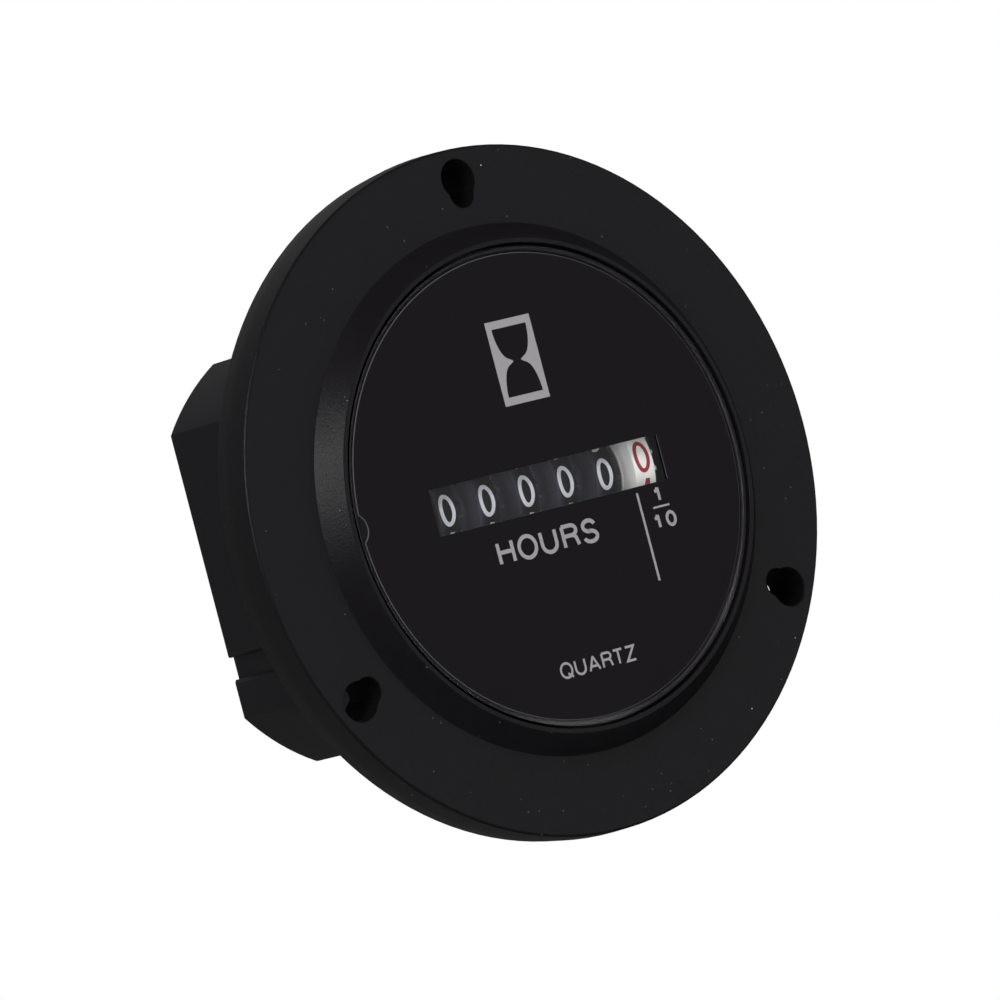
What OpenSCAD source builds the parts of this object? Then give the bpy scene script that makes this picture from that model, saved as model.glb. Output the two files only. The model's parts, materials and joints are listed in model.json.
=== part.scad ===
// Round flange-mounted hour meter: six number wheels counted up by a quartz-timed stepping motor.
// X points right, Y into the panel and Z up. The origin is the bolt circle's centre on the panel face.

/* [Flange and bezel] */
// Diameter of the flange at its parting line
flange_d = 71.9; // [70:0.1:80]
// Thickness of the flange
flange_t = 5.1; // [4.6:0.1:6]
// Width of the bevel round the flange's front edge
flange_bevel = 0.2; // [0.1:0.05:0.6]
// Height of the parting line round the flange's rim
part_line_h = 2.6; // [2:0.1:3.5]
// How far the rim draws in from the parting line to the panel
back_draft = 0.25; // [0:0.05:0.4]
// How far the rim draws in from the parting line to the front
front_draft = 0.1; // [0:0.05:0.3]
// Diameter of the bezel cone at its foot on the flange
bezel_foot_d = 55.2; // [53:0.1:57]
// Height of the bezel above the flange
bezel_h = 2.45; // [2.2:0.05:3]
// Width of the flat top of the bezel ring
bezel_top_w = 0.5; // [0.3:0.05:0.8]
// Width of the rim that is left round the hollow back of the flange
flange_rim_w = 1.7; // [1.2:0.1:2.5]
// Depth of the hollow back of the flange
flange_core_depth = 2.4; // [1.5:0.1:2.6]
// Thickness of the ribs in the hollow back
flange_rib_t = 1.2; // [0.8:0.1:2]

/* [Mounting holes] */
// Distance from a mounting hole's centre to the flange's edge
bolt_edge = 3.45; // [2.9:0.05:4.2]
// Diameter of each mounting hole at the panel
bolt_hole_d = 3.7; // [3.4:0.1:4]
// Diameter of the smaller lobe on the inner side of each hole, at the panel
relief_d = 2.6; // [2.2:0.1:3]
// Length of the straight part of each hole, from the panel
hole_straight = 3; // [2:0.1:4]
// How much wider the holes are at the front, on each side
hole_draft = 0.2; // [0.05:0.05:0.3]
// Distance from a mounting hole's centre to its smaller lobe
relief_offset = 1.47; // [1.4:0.01:1.8]
// Wall of the boss round each mounting hole
boss_wall = 2; // [1.5:0.1:2.5]

/* [Lens and face film] */
// Diameter of the lens
lens_d = 49.6; // [49.2:0.1:50.4]
// Thickness of the lens behind the film
lens_t = 1.2; // [0.9:0.05:1.4]
// Width of the sloping rim of the lens
lens_rim_w = 0.55; // [0.4:0.05:1.2]
// Height of the rim's slope
lens_rim_h = 0.3; // [0.2:0.05:0.5]
// Gap between the lens and the bezel round it
lens_gap = 0.3; // [0.1:0.05:0.4]
// Thickness of the face film
film_t = 0.25; // [0.15:0.05:0.4]
// Width of the window
window_w = 29.9; // [28:0.1:31]
// Height of the window
window_h = 4.8; // [4:0.1:6]
// Height of the window's centre above the dial's centre
window_z = 0.05; // [-0.5:0.05:0.5]
// How far the locating key stands into the film's edge
key_depth = 0.8; // [0.4:0.1:1]
// Radius of the locating key
key_r = 1.6; // [1.2:0.1:2]
// Height of the locating key above the dial's centre
key_z = 0.3; // [-1:0.1:1]

/* [Housing] */
// Diameter of the housing
body_d = 49; // [48.6:0.1:50]
// Width of the housing across its flats
body_flat_w = 38.4; // [38.2:0.1:40]
// Height of the housing across its top and bottom flats
body_flat_h = 43; // [42:0.1:45]
// Depth of the housing behind the panel
body_depth = 29.3; // [29:0.1:34]
// Side wall of the housing
body_wall = 1.8; // [1.4:0.1:1.9]
// Rear wall of the housing
rear_wall = 2; // [1.5:0.1:2.2]
// Radius of the housing's rear edges
body_edge_r = 0.6; // [0.3:0.1:1]
// How far the housing's round collar stands into the flange
collar_h = 2.6; // [2:0.1:2.8]
// Width of the groove along each flat
groove_w = 2.35; // [1.5:0.05:3]
// Depth of the groove
groove_depth = 0.85; // [0.4:0.05:0.95]
// Radius of the groove's upper lip
groove_lip_r = 0.45; // [0.2:0.05:0.6]
// Width of the bevel on the groove's lower lip
groove_bevel = 0.4; // [0.2:0.05:0.6]
// Height of the groove's middle
groove_z = -9.93; // [-12:0.01:-8]
// Diameter of the posts that carry the frame
post_d = 4.8; // [4:0.1:5]

/* [Counter] */
// Diameter of the number wheels
number_wheel_d = 13.2; // [12.8:0.1:13.6]
// Room from the left side plate to the middle of the first number wheel
left_room = 4; // [3.8:0.05:4.4]
// Room from the middle of the last number wheel to the right side plate
right_room = 3.1; // [3.1:0.05:3.4]
// Width of a number wheel's rim
rim_w = 2.6; // [2.4:0.05:2.8]
// Diameter of the ring on the left of each wheel
ring_d = 9; // [8.4:0.1:9.2]
// Height of the carry teeth above the ring
carry_tooth_h = 0.55; // [0.3:0.05:0.6]
// Diameter of the shaft through the number wheels
wheel_shaft_d = 2; // [1.6:0.1:2.2]
// Diameter of the shaft through the carry pinions
pinion_shaft_d = 1.2; // [1:0.05:1.3]

/* [Gear train] */
// Angle of the second gear below the line from wheel shaft to pinion shaft
second_angle = 54; // [54:18:72]
// Module of the teeth between second and first gear
second_module = 0.25; // [0.24:0.005:0.26]
// Direction of the first gear from the second
first_angle = -5; // [-12:1:0]
// Module of the teeth between first gear and rotor
first_module = 0.2; // [0.19:0.005:0.21]
// Direction of the rotor from the first gear
rotor_angle = 40; // [34:1:46]
// Thickness of the two reduction gears
gear_t = 0.5; // [0.4:0.05:0.55]
// Diameter of the second gear's stud
second_stud_d = 1.2; // [1:0.1:1.3]
// Diameter of the first gear's stud
first_stud_d = 1; // [0.8:0.1:1.1]

/* [Motor] */
// Diameter of the rotor magnet
magnet_d = 5.4; // [4.6:0.1:5.6]
// Length of the rotor magnet
magnet_len = 3; // [2.4:0.1:3.2]
// Air gap between magnet and stator
air_gap = 0.5; // [0.3:0.05:0.6]
// Diameter of the rotor's arbor
arbor_d = 0.8; // [0.6:0.05:0.9]
// Thickness of the stator plate
stator_t = 1; // [0.8:0.1:1.2]
// Width of the stator's legs
leg_w = 2.2; // [2:0.1:2.4]
// Length of the coil between the stator's legs
coil_len = 5.7; // [5:0.1:6]
// Diameter of the bobbin's flanges
bobbin_d = 7.2; // [6.4:0.1:7.4]
// Diameter of the winding
winding_d = 6.6; // [5.6:0.1:7]
// Diameter of the motor's pillars
pillar_d = 2.6; // [2.4:0.1:2.8]

/* [Electrics] */
// Thickness of the circuit board
board_t = 1.6; // [1:0.1:1.6]
// Width of the terminal blades
blade_w = 6.35; // [4.75:0.05:6.4]
// Thickness of the terminal blades
blade_t = 0.8; // [0.5:0.05:0.9]
// Length of the blades behind the housing
blade_len = 8.7; // [7:0.1:9.5]
// Distance between the two blades
blade_spacing = 14; // [12:0.5:16]

/* [Frame] */
// Thickness of the frame's sheet
sheet_t = 0.8; // [0.6:0.05:0.85]
// Diameter of the screws that hold the frame and the board
screw_d = 2.2; // [1.8:0.1:2.4]

/* [Hidden] */
$fn = 96;

// Clearances
through = 1;
seat_gap = 0.05;
collar_gap = 0.1;
run_gap = 0.05;
press_gap = 0.02;
side_gap = 0.2;
front_gap = 0.3;
face_gap = 0.15;

// Levels along Y, from the front of the bezel to the rear of the housing
rim_sink = 0.2;
flange_front_y = -flange_t;
bezel_top_y = flange_front_y - bezel_h;
lens_rim_y = bezel_top_y + rim_sink;
film_y = lens_rim_y + lens_rim_h;
lens_face_y = film_y + film_t;
lens_back_y = lens_face_y + lens_t;
rear_inside_y = body_depth - rear_wall;

// Radii of the bezel, lens and housing
flange_r = flange_d / 2;
flange_front_r = flange_r - front_draft;
lens_r = lens_d / 2;
seat_r = lens_r + lens_gap;
bezel_top_r = seat_r + bezel_top_w;
lens_ledge_w = 2;
sight_r = lens_r - lens_ledge_w;
film_seat_r = lens_r - lens_rim_w;
film_r = film_seat_r - seat_gap;
body_r = body_d / 2;
body_in_r = body_r - body_wall;
socket_r = body_r + collar_gap;
socket_wall = 1.8;
flat_x = body_flat_w / 2;
flat_in_x = flat_x - body_wall;
flat_z = body_flat_h / 2;
flat_in_z = flat_z - body_wall;
bolt_circle_d = flange_d - 2 * bolt_edge;
hole_angles = [90, 210, 330];
rib_angles = [30, 150, 270];

// Side plates of the frame, and the half height that the drum leaves at a distance from its middle
cheek_x = flat_in_x - side_gap;
cheek_in_x = cheek_x - sheet_t;
function drum_half_z(x) = sqrt(pow(body_in_r, 2) - pow(x, 2));

// Counter: places of shafts and wheels
wheel_count = 6;
wheel_pitch = (2 * cheek_in_x - left_room - right_room) / (wheel_count - 1);
first_wheel_x = left_room - cheek_in_x;
wheel_r = number_wheel_d / 2;
wheel_shaft_r = wheel_shaft_d / 2;
pinion_shaft_r = pinion_shaft_d / 2;
wheel_teeth = 20;
pinion_teeth = 8;
rim_to_pinion_shaft = 0.22;
carry_distance = wheel_r + rim_to_pinion_shaft + pinion_shaft_r;
carry_module = 2 * carry_distance / (wheel_teeth + pinion_teeth);
wheel_axis = [lens_back_y + front_gap + wheel_r, 0];
pinion_axis = wheel_axis + [carry_distance, 0];
wheel_gap = 0.3;
side_w = (wheel_pitch - rim_w - wheel_gap) / 2;
rim_clear = 0.1;
ring_r = ring_d / 2;
hub_r = wheel_shaft_r + 1.2;
ring_wall = 0.6;
recess_depth = 0.8;
carry_tooth_angles = [-18, -36];
carry_tooth_half = 3.5;
carry_tip_r = ring_r + carry_tooth_h;
function wheel_x(i) = first_wheel_x + i * wheel_pitch;

// Gear teeth: heights in modules, widths as shares of the tooth pitch
wheel_addendum = 0.9;
wheel_dedendum = 1.2;
pinion_addendum = 1;
pinion_dedendum = 1.15;
wheel_shares = [0.56, 0.4, 0.2];
pinion_shares = [0.5, 0.36, 0.16];

// Gear train: teeth, axes and places along X
second_teeth = 40;
second_pinion_teeth = 8;
first_teeth = 50;
first_pinion_teeth = 10;
rotor_teeth = 10;
tenths_x = wheel_x(wheel_count - 1);
tenths_gear_w = 0.9;
tenths_face_x = tenths_x + rim_w / 2;
second_axis = wheel_axis + polar(carry_distance, -second_angle);
first_axis = second_axis + polar(second_module * (second_teeth + first_pinion_teeth) / 2, first_angle);
rotor_axis = first_axis + polar(first_module * (first_teeth + rotor_teeth) / 2, rotor_angle);
second_pinion_x = [tenths_face_x + face_gap, tenths_face_x + tenths_gear_w - run_gap];
second_x = [second_pinion_x[1] + side_gap, second_pinion_x[1] + side_gap + gear_t];
first_setback = 0.35;
first_x = [second_pinion_x[0] - first_setback - gear_t, second_pinion_x[0] - first_setback];
first_pinion_x = [first_x[1], second_x[1] + run_gap];
rotor_pinion_x = [first_x[0] - face_gap, first_x[1] + face_gap];
stud_head_t = 0.3;
stud_head_wall = 0.4;

// Frame: cheeks, web and tabs
web_gap = 1;
web_z = wheel_r + web_gap;
frame_top_z = web_z + sheet_t;
frame_reach = 4.5;
web_reach = 8.5;
left_cheek_margin = 3.3;
right_cheek_margin = 0.6;
cheek_to_drum = 2.3;
tab_rise = 3.1;
tab_to_drum = 3.3;
frame_front_y = wheel_axis[0] - frame_reach;
web_rear_y = wheel_axis[0] + web_reach;
left_rear_y = pinion_axis[0] + left_cheek_margin;
right_low_z = cheek_to_drum - drum_half_z(cheek_x);
cheek_low_z = -3.5;
cheek_cut = 2.5;
tab_w = 7;
tab_hole_z = frame_top_z + tab_rise;
left_tab_x = -sqrt(pow(body_in_r - tab_w / 2 - tab_to_drum, 2) - pow(tab_hole_z, 2));
right_tab_x = 2.5;
tab_xs = [left_tab_x, right_tab_x];
tab_front_y = web_rear_y - sheet_t;
screw_r = screw_d / 2;
screw_head_wall = 0.9;
screw_head_r = screw_r + screw_head_wall;
screw_head_t = 1;
screw_grip = 7;
post_r = post_d / 2;
slot_w = 0.5;
slot_depth = 0.4;

// Motor: stator, coil and bridge
magnet_r = magnet_d / 2;
arbor_r = arbor_d / 2;
sleeve_wall = 0.45;
sleeve_r = arbor_r + sleeve_wall;
stator_setback = 3.3;
stator_x = tenths_x - stator_setback;
stator_wall = 1.4;
stator_hole_r = magnet_r + air_gap;
coil_play = 0.2;
stator_left_y = rotor_axis[0] - stator_hole_r - stator_wall;
leg_inner_y = stator_left_y + leg_w;
leg_far_y = leg_inner_y + coil_len + 2 * coil_play;
stator_right_y = leg_far_y + leg_w;
stator_foot = 1.3;
stator_low_z = rotor_axis[1] - stator_hole_r - stator_foot;
slot_floor_z = rotor_axis[1] + stator_hole_r + stator_wall;
neck_w = 0.6;
core_h = 2.4;
core_t = 1;
coil_rise = 12.7;
coil_z = rotor_axis[1] + coil_rise;
leg_top_z = coil_z + core_h / 2;
coil_x = stator_x + stator_t + core_t / 2;
bobbin_flange_t = 0.6;
bobbin_tube_r = 1.9;
pin_r = 0.3;
pin_offset = [2.8, -1.8];
magnet_shift = 0.5;
magnet_mid_x = stator_x + stator_t / 2 + magnet_shift;
magnet_x = [magnet_mid_x - magnet_len / 2, magnet_mid_x + magnet_len / 2];
bridge_t = 0.8;
bridge_gap = 1;
bridge_x = stator_x - bridge_gap - bridge_t;
bridge_w = 3.4;
pillar_r = pillar_d / 2;
pillar_rises = [7.5, -1.9];
pillar_spots = [
    [stator_left_y + leg_w / 2, rotor_axis[1] + pillar_rises[0]],
    [stator_right_y - leg_w / 2, rotor_axis[1] + pillar_rises[1]]
];
motor_screw_r = 0.7;
motor_screw_head_r = 1.4;
motor_screw_head_t = 0.8;
motor_screw_grip = 2;
rivet_r = 0.8;

// Circuit board and what stands on it
board_standoff = 1.1;
board_y = rear_inside_y - board_standoff - board_t;
board_back_y = board_y + board_t;
board_side_gap = 2.4;
board_drum_gap = 1.54;
board_half_w = flat_in_x - board_side_gap;
board_low_z = board_drum_gap - drum_half_z(board_half_w);
board_top_drop = 1;
board_top_z = coil_z - board_top_drop;
board_screw_inset = [2.5, 3];
board_screw_x = board_half_w - board_screw_inset[0];
board_screw_z = board_low_z + board_screw_inset[1];
board_screw_grip = 2;
board_post_wall = 1.1;
board_post_r = screw_r + board_post_wall;
tail_w = 3;
tail_proud = 0.4;
shoulder_over = 1.65;
shoulder_w = blade_w + shoulder_over;
shoulder_play = 0.1;
shoulder_t = board_standoff - shoulder_play;
blade_tip = 1.2;
blade_hole_r = 0.8;
blade_hole_from_tip = 4;
wire_r = 0.3;
wire_bend_r = 0.6;
crystal_at = [-8.3, board_low_z + 12];
crystal_r = 1.5;
crystal_len = 8;
crystal_lead_len = 2;
crystal_lead_pitch = 1;
chip_at = [-2.5, board_low_z + 7.5];
chip_size = [5, 1.4, 4];
chip_leg = [0.4, 0.9, 1];
chip_leg_pitch = 1.27;
chip_legs = 4;
capacitor_at = [3.5, board_low_z + 4.5];
capacitor_r = 2.5;
capacitor_len = 6;
vent_w = 0.3;
vent_depth = 0.2;
resistor_at = [-2.5, 5.5];
resistor_r = 1;
resistor_len = 5;
resistor_span = 9;
diode_at = [-2.5, board_low_z + 2];
diode_r = 0.9;
diode_len = 4;
diode_span = 8;

function polar(r, a) = [r * cos(a), r * sin(a)];

// Outline of a gear with its first tooth at the given angle
function gear_points(teeth, size, addendum, dedendum, shares, phase) =
    let (
        pitch_r = teeth * size / 2,
        step = 360 / teeth,
        side = [
            [pitch_r - dedendum * size, shares[0] * step / 2],
            [pitch_r, shares[1] * step / 2],
            [pitch_r + addendum * size, shares[2] * step / 2]
        ]
    )
    [
        for (i = [0:teeth - 1])
            for (k = [0:5])
                let (p = k < 3 ? side[k] : side[5 - k], sign = k < 3 ? -1 : 1)
                    polar(p[0], phase + i * step + sign * p[1])
    ];

// A profile drawn in Y and Z, extruded along X
module along_x(x0, x1) {
    translate([x0, 0, 0]) rotate([90, 0, 90]) linear_extrude(x1 - x0) children();
}

// A profile drawn in X and Y, extruded along Z
module along_z(z0, z1) {
    translate([0, 0, z0]) linear_extrude(z1 - z0) children();
}

// A profile drawn in X and Z, extruded along Y
module along_y(y0, y1) {
    translate([0, y1, 0]) rotate([90, 0, 0]) linear_extrude(y1 - y0) children();
}

// A profile drawn in radius and Y, turned about the dial's axis
module about_y() {
    rotate([-90, 0, 0]) rotate_extrude() children();
}

// A round bar along X at a place in Y and Z
module bar_x(x0, x1, r, at) {
    along_x(x0, x1) translate(at) circle(r);
}

// A round bar along Y at a place in X and Z
module bar_y(y0, y1, r, at) {
    along_y(y0, y1) translate(at) circle(r);
}

// A round bore along Y that runs from one radius to another
module cone_y(y0, y1, r0, r1, at) {
    translate([at[0], y1, at[1]]) rotate([90, 0, 0]) cylinder(h = y1 - y0, r1 = r1, r2 = r0);
}

// A flat link with round ends between two points
module link(a, b, w) {
    d = b - a;
    translate(a) circle(w / 2);
    translate(b) circle(w / 2);
    translate(a) rotate(atan2(d[1], d[0])) translate([0, -w / 2]) square([norm(d), w]);
}

// Gear outlines for the larger wheel and the smaller pinion of a pair
module wheel_teeth_2d(teeth, size, phase) {
    polygon(gear_points(teeth, size, wheel_addendum, wheel_dedendum, wheel_shares, phase));
}

module pinion_teeth_2d(teeth, size, phase) {
    polygon(gear_points(teeth, size, pinion_addendum, pinion_dedendum, pinion_shares, phase));
}

// One keyhole-shaped mounting hole, made of two overlapping bores that widen to the front
module mounting_hole(angle) {
    slope = hole_draft / (flange_t - hole_straight);
    for (bore = [[bolt_hole_d / 2, 0], [relief_d / 2, relief_offset]]) {
        at = polar(bolt_circle_d / 2 - bore[1], angle);
        bar_y(flange_front_y, through, bore[0], at);
        cone_y(flange_front_y - through, -hole_straight, bore[0] + hole_draft + slope * through, bore[0], at);
    }
}

// The hollow in the flange's back, with bosses round the holes and ribs left standing
module flange_core() {
    along_y(-flange_core_depth, through) difference() {
        circle(flange_r - back_draft - flange_rim_w);
        circle(socket_r + socket_wall);
        for (angle = hole_angles) {
            translate(polar(bolt_circle_d / 2, angle)) circle(bolt_hole_d / 2 + boss_wall);
            translate(polar(bolt_circle_d / 2 - relief_offset, angle)) circle(relief_d / 2 + boss_wall);
        }
        for (angle = rib_angles)
            rotate(angle) translate([0, -flange_rib_t / 2]) square([flange_r, flange_rib_t]);
    }
}

module flange_bezel() {
    color("#222324") difference() {
        about_y() polygon([
            [0, 0], [flange_r - back_draft, 0], [flange_r, -part_line_h],
            [flange_front_r, flange_front_y + flange_bevel], [flange_front_r - flange_bevel, flange_front_y],
            [bezel_foot_d / 2, flange_front_y], [bezel_top_r, bezel_top_y], [0, bezel_top_y]
        ]);
        bar_y(bezel_top_y - through, lens_back_y, seat_r, [0, 0]);
        bar_y(lens_back_y - through, through, sight_r, [0, 0]);
        bar_y(-collar_h, through, socket_r, [0, 0]);
        flange_core();
        for (angle = hole_angles) mounting_hole(angle);
    }
}

// Middle of the round locating key at the left of the lens rim
key_at = [-(film_seat_r + key_r - key_depth), key_z];

module lens() {
    color("#dfe6e8", 0.4) {
        about_y() polygon([
            [0, lens_back_y], [lens_r, lens_back_y], [lens_r, lens_rim_y],
            [film_seat_r, film_y], [film_seat_r, lens_face_y], [0, lens_face_y]
        ]);
        along_y(film_y, lens_face_y) intersection() {
            translate(key_at) circle(key_r);
            circle(lens_r - (lens_r - film_seat_r) / 2);
        }
    }
}

module face_overlay() {
    color("#1b1a1c") along_y(film_y, lens_face_y) difference() {
        circle(film_r);
        translate([-window_w / 2, window_z - window_h / 2]) square([window_w, window_h]);
        translate(key_at) circle(key_r + seat_gap);
    }
}

// Plan of the housing between two of its flats, with rounded rear corners
module flat_plan(half) {
    translate([-half, 0]) square([2 * half, body_depth - body_edge_r]);
    translate([body_edge_r - half, 0]) square([2 * (half - body_edge_r), body_depth]);
    for (s = [-1, 1])
        translate([s * (half - body_edge_r), body_depth - body_edge_r]) circle(body_edge_r);
}

// Half section of the housing's drum, with a rounded rear corner
module drum_section() {
    square([body_r, body_depth - body_edge_r]);
    square([body_r - body_edge_r, body_depth]);
    translate([body_r - body_edge_r, body_depth - body_edge_r]) circle(body_edge_r);
}

// Section of the groove, drawn outward from the flat: round upper lip and bevelled lower lip
module groove_2d() {
    half = groove_w / 2;
    translate([-groove_depth, -half]) square([groove_depth + through, groove_w]);
    translate([-groove_lip_r, half]) difference() {
        square([groove_lip_r + through, groove_lip_r]);
        translate([0, groove_lip_r]) circle(groove_lip_r);
    }
    polygon([
        [-groove_bevel, -half], [through, -half], [through, -half - groove_bevel], [0, -half - groove_bevel]
    ]);
}

module housing() {
    color("#1d1c1e") {
        difference() {
            union() {
                bar_y(-collar_h, 0, body_r, [0, 0]);
                intersection() {
                    about_y() drum_section();
                    along_z(-body_r, body_r) flat_plan(flat_x);
                    along_x(-body_r, body_r) mirror([1, -1]) flat_plan(flat_z);
                }
            }
            along_y(-collar_h - through, rear_inside_y) intersection() {
                circle(body_in_r);
                square(2 * [flat_in_x, flat_in_z], center = true);
            }
            for (side = [0, 1])
                along_y(0, body_depth + through) mirror([side, 0]) translate([flat_x, groove_z]) groove_2d();
            for (s = [-1, 1])
                along_y(rear_inside_y - through, body_depth + through)
                    translate([s * blade_spacing / 2, 0])
                        square([blade_t + 2 * run_gap, blade_w + 2 * run_gap], center = true);
        }
        for (x = tab_xs) difference() {
            bar_y(web_rear_y, rear_inside_y, post_r, [x, tab_hole_z]);
            bar_y(web_rear_y - through, web_rear_y + screw_grip, screw_r + press_gap, [x, tab_hole_z]);
        }
        for (s = [-1, 1]) difference() {
            bar_y(board_back_y, rear_inside_y, board_post_r, [s * board_screw_x, board_screw_z]);
            bar_y(board_back_y - through, rear_inside_y, screw_r + press_gap,
                [s * board_screw_x, board_screw_z]);
        }
    }
}

// Side plate of the frame, with its lower corners cut off
module cheek_2d(rear_y, low_z) {
    polygon([
        [frame_front_y, frame_top_z], [rear_y, frame_top_z], [rear_y, low_z + cheek_cut],
        [rear_y - cheek_cut, low_z], [frame_front_y + cheek_cut, low_z], [frame_front_y, low_z + cheek_cut]
    ]);
}

module counter_frame() {
    color("#b8bbbd") difference() {
        union() {
            along_x(-cheek_x, -cheek_in_x) cheek_2d(left_rear_y, cheek_low_z);
            along_x(cheek_in_x, cheek_x) cheek_2d(stator_right_y + right_cheek_margin, right_low_z);
            along_z(web_z, frame_top_z)
                translate([-cheek_x, frame_front_y]) square([2 * cheek_x, web_rear_y - frame_front_y]);
            for (x = tab_xs) along_y(tab_front_y, web_rear_y) {
                translate([x - tab_w / 2, web_z]) square([tab_w, tab_hole_z - web_z]);
                translate([x, tab_hole_z]) circle(tab_w / 2);
            }
        }
        bar_x(-flat_x, flat_x, wheel_shaft_r + press_gap, wheel_axis);
        bar_x(-flat_x, flat_x, pinion_shaft_r + press_gap, pinion_axis);
        bar_x(0, flat_x, second_stud_d / 2 + press_gap, second_axis);
        bar_x(0, flat_x, first_stud_d / 2 + press_gap, first_axis);
        bar_x(0, flat_x, arbor_r + run_gap, rotor_axis);
        for (spot = pillar_spots) bar_x(0, flat_x, rivet_r + press_gap, spot);
        for (x = tab_xs) bar_y(0, body_depth, screw_r + collar_gap, [x, tab_hole_z]);
    }
}

module wheel_shaft() {
    color("#9aa0a4") bar_x(-cheek_x, cheek_x, wheel_shaft_r, wheel_axis);
}

module pinion_shaft() {
    color("#9aa0a4") bar_x(-cheek_x, cheek_x, pinion_shaft_r, pinion_axis);
}

// One number wheel: rim, gear on its right, ring with two carry teeth on its left
module number_wheel(i, gear_w) {
    x = wheel_x(i);
    translate([0, wheel_axis[0], wheel_axis[1]]) difference() {
        union() {
            bar_x(x - rim_w / 2, x + rim_w / 2, wheel_r, [0, 0]);
            bar_x(x - rim_w / 2 - side_w, x, ring_r, [0, 0]);
            along_x(x - rim_w / 2 - side_w, x) for (angle = carry_tooth_angles) polygon([
                for (corner = [[hub_r, -1], [carry_tip_r, -1], [carry_tip_r, 1], [hub_r, 1]])
                    polar(corner[0], angle + corner[1] * carry_tooth_half)
            ]);
            along_x(x, x + rim_w / 2 + gear_w)
                wheel_teeth_2d(wheel_teeth, carry_module, 180 / wheel_teeth);
        }
        bar_x(x - rim_w - side_w, x + rim_w + side_w, wheel_shaft_r + run_gap, [0, 0]);
        along_x(x - rim_w / 2 - side_w - through, x - rim_w / 2 - side_w + recess_depth) difference() {
            circle(ring_r - ring_wall);
            circle(hub_r);
        }
    }
}

module wheel_ten_thousands() {
    color("#323238") number_wheel(0, side_w);
}

module wheel_thousands() {
    color("#323238") number_wheel(1, side_w);
}

module wheel_hundreds() {
    color("#323238") number_wheel(2, side_w);
}

module wheel_tens() {
    color("#323238") number_wheel(3, side_w);
}

module wheel_units() {
    color("#323238") number_wheel(4, side_w);
}

module wheel_tenths() {
    color("#dcdad6") number_wheel(5, tenths_gear_w);
}

// One carry pinion right of wheel i: eight teeth at its left half, every other one at its right half
module carry_pinion(i) {
    x0 = wheel_x(i) + rim_w / 2 + rim_clear;
    x1 = wheel_x(i + 1) - rim_w / 2 - rim_clear;
    middle = (x0 + x1) / 2;
    root_r = carry_module * (pinion_teeth / 2 - pinion_dedendum);
    tip_r = carry_module * (pinion_teeth / 2 + pinion_addendum);
    long_half = 16;
    translate([0, pinion_axis[0], pinion_axis[1]]) difference() {
        union() {
            along_x(x0, middle) pinion_teeth_2d(pinion_teeth, carry_module, 0);
            along_x(middle, x1) circle(root_r);
            along_x(middle, x1) intersection() {
                pinion_teeth_2d(pinion_teeth, carry_module, 0);
                for (quarter = [0:3]) polygon([
                    [0, 0], polar(2 * tip_r, quarter * 90 + 45 - long_half),
                    polar(2 * tip_r, quarter * 90 + 45 + long_half)
                ]);
            }
        }
        bar_x(x0 - through, x1 + through, pinion_shaft_r + run_gap, [0, 0]);
    }
}

module carry_pinion_ten_thousands() {
    color("#d8c9a3") carry_pinion(0);
}

module carry_pinion_thousands() {
    color("#d8c9a3") carry_pinion(1);
}

module carry_pinion_hundreds() {
    color("#d8c9a3") carry_pinion(2);
}

module carry_pinion_tens() {
    color("#d8c9a3") carry_pinion(3);
}

module carry_pinion_units() {
    color("#d8c9a3") carry_pinion(4);
}

module second_gear() {
    color("#e9e6dc") translate([0, second_axis[0], second_axis[1]]) difference() {
        union() {
            along_x(second_x[0], second_x[1])
                wheel_teeth_2d(second_teeth, second_module, first_angle + 180 / second_teeth);
            along_x(second_pinion_x[0], second_x[0])
                pinion_teeth_2d(second_pinion_teeth, carry_module, 180 - second_angle);
        }
        bar_x(second_pinion_x[0] - through, second_x[1] + through, second_stud_d / 2 + run_gap, [0, 0]);
    }
}

module first_gear() {
    color("#e9e6dc") translate([0, first_axis[0], first_axis[1]]) difference() {
        union() {
            along_x(first_x[0], first_x[1])
                wheel_teeth_2d(first_teeth, first_module, rotor_angle + 180 / first_teeth);
            along_x(first_pinion_x[0], first_pinion_x[1])
                pinion_teeth_2d(first_pinion_teeth, second_module, 180 + first_angle);
        }
        bar_x(first_x[0] - through, first_pinion_x[1] + through, first_stud_d / 2 + run_gap, [0, 0]);
    }
}

module second_stud() {
    color("#9aa0a4") bar_x(second_pinion_x[0], cheek_x, second_stud_d / 2, second_axis);
}

module first_stud() {
    head_x = first_x[0] - face_gap;
    color("#9aa0a4") {
        bar_x(head_x, cheek_x, first_stud_d / 2, first_axis);
        bar_x(head_x - stud_head_t, head_x, first_stud_d / 2 + stud_head_wall, first_axis);
    }
}

module rotor_arbor() {
    color("#e9e6dc") translate([0, rotor_axis[0], rotor_axis[1]]) {
        bar_x(bridge_x, cheek_x, arbor_r, [0, 0]);
        bar_x(magnet_x[0] - side_gap, rotor_pinion_x[0], sleeve_r, [0, 0]);
        along_x(rotor_pinion_x[0], rotor_pinion_x[1])
            pinion_teeth_2d(rotor_teeth, first_module, 180 + rotor_angle);
    }
}

module rotor_magnet() {
    color("#4a4a4d") along_x(magnet_x[0], magnet_x[1]) translate(rotor_axis) difference() {
        circle(magnet_r);
        circle(sleeve_r + press_gap);
    }
}

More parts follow.
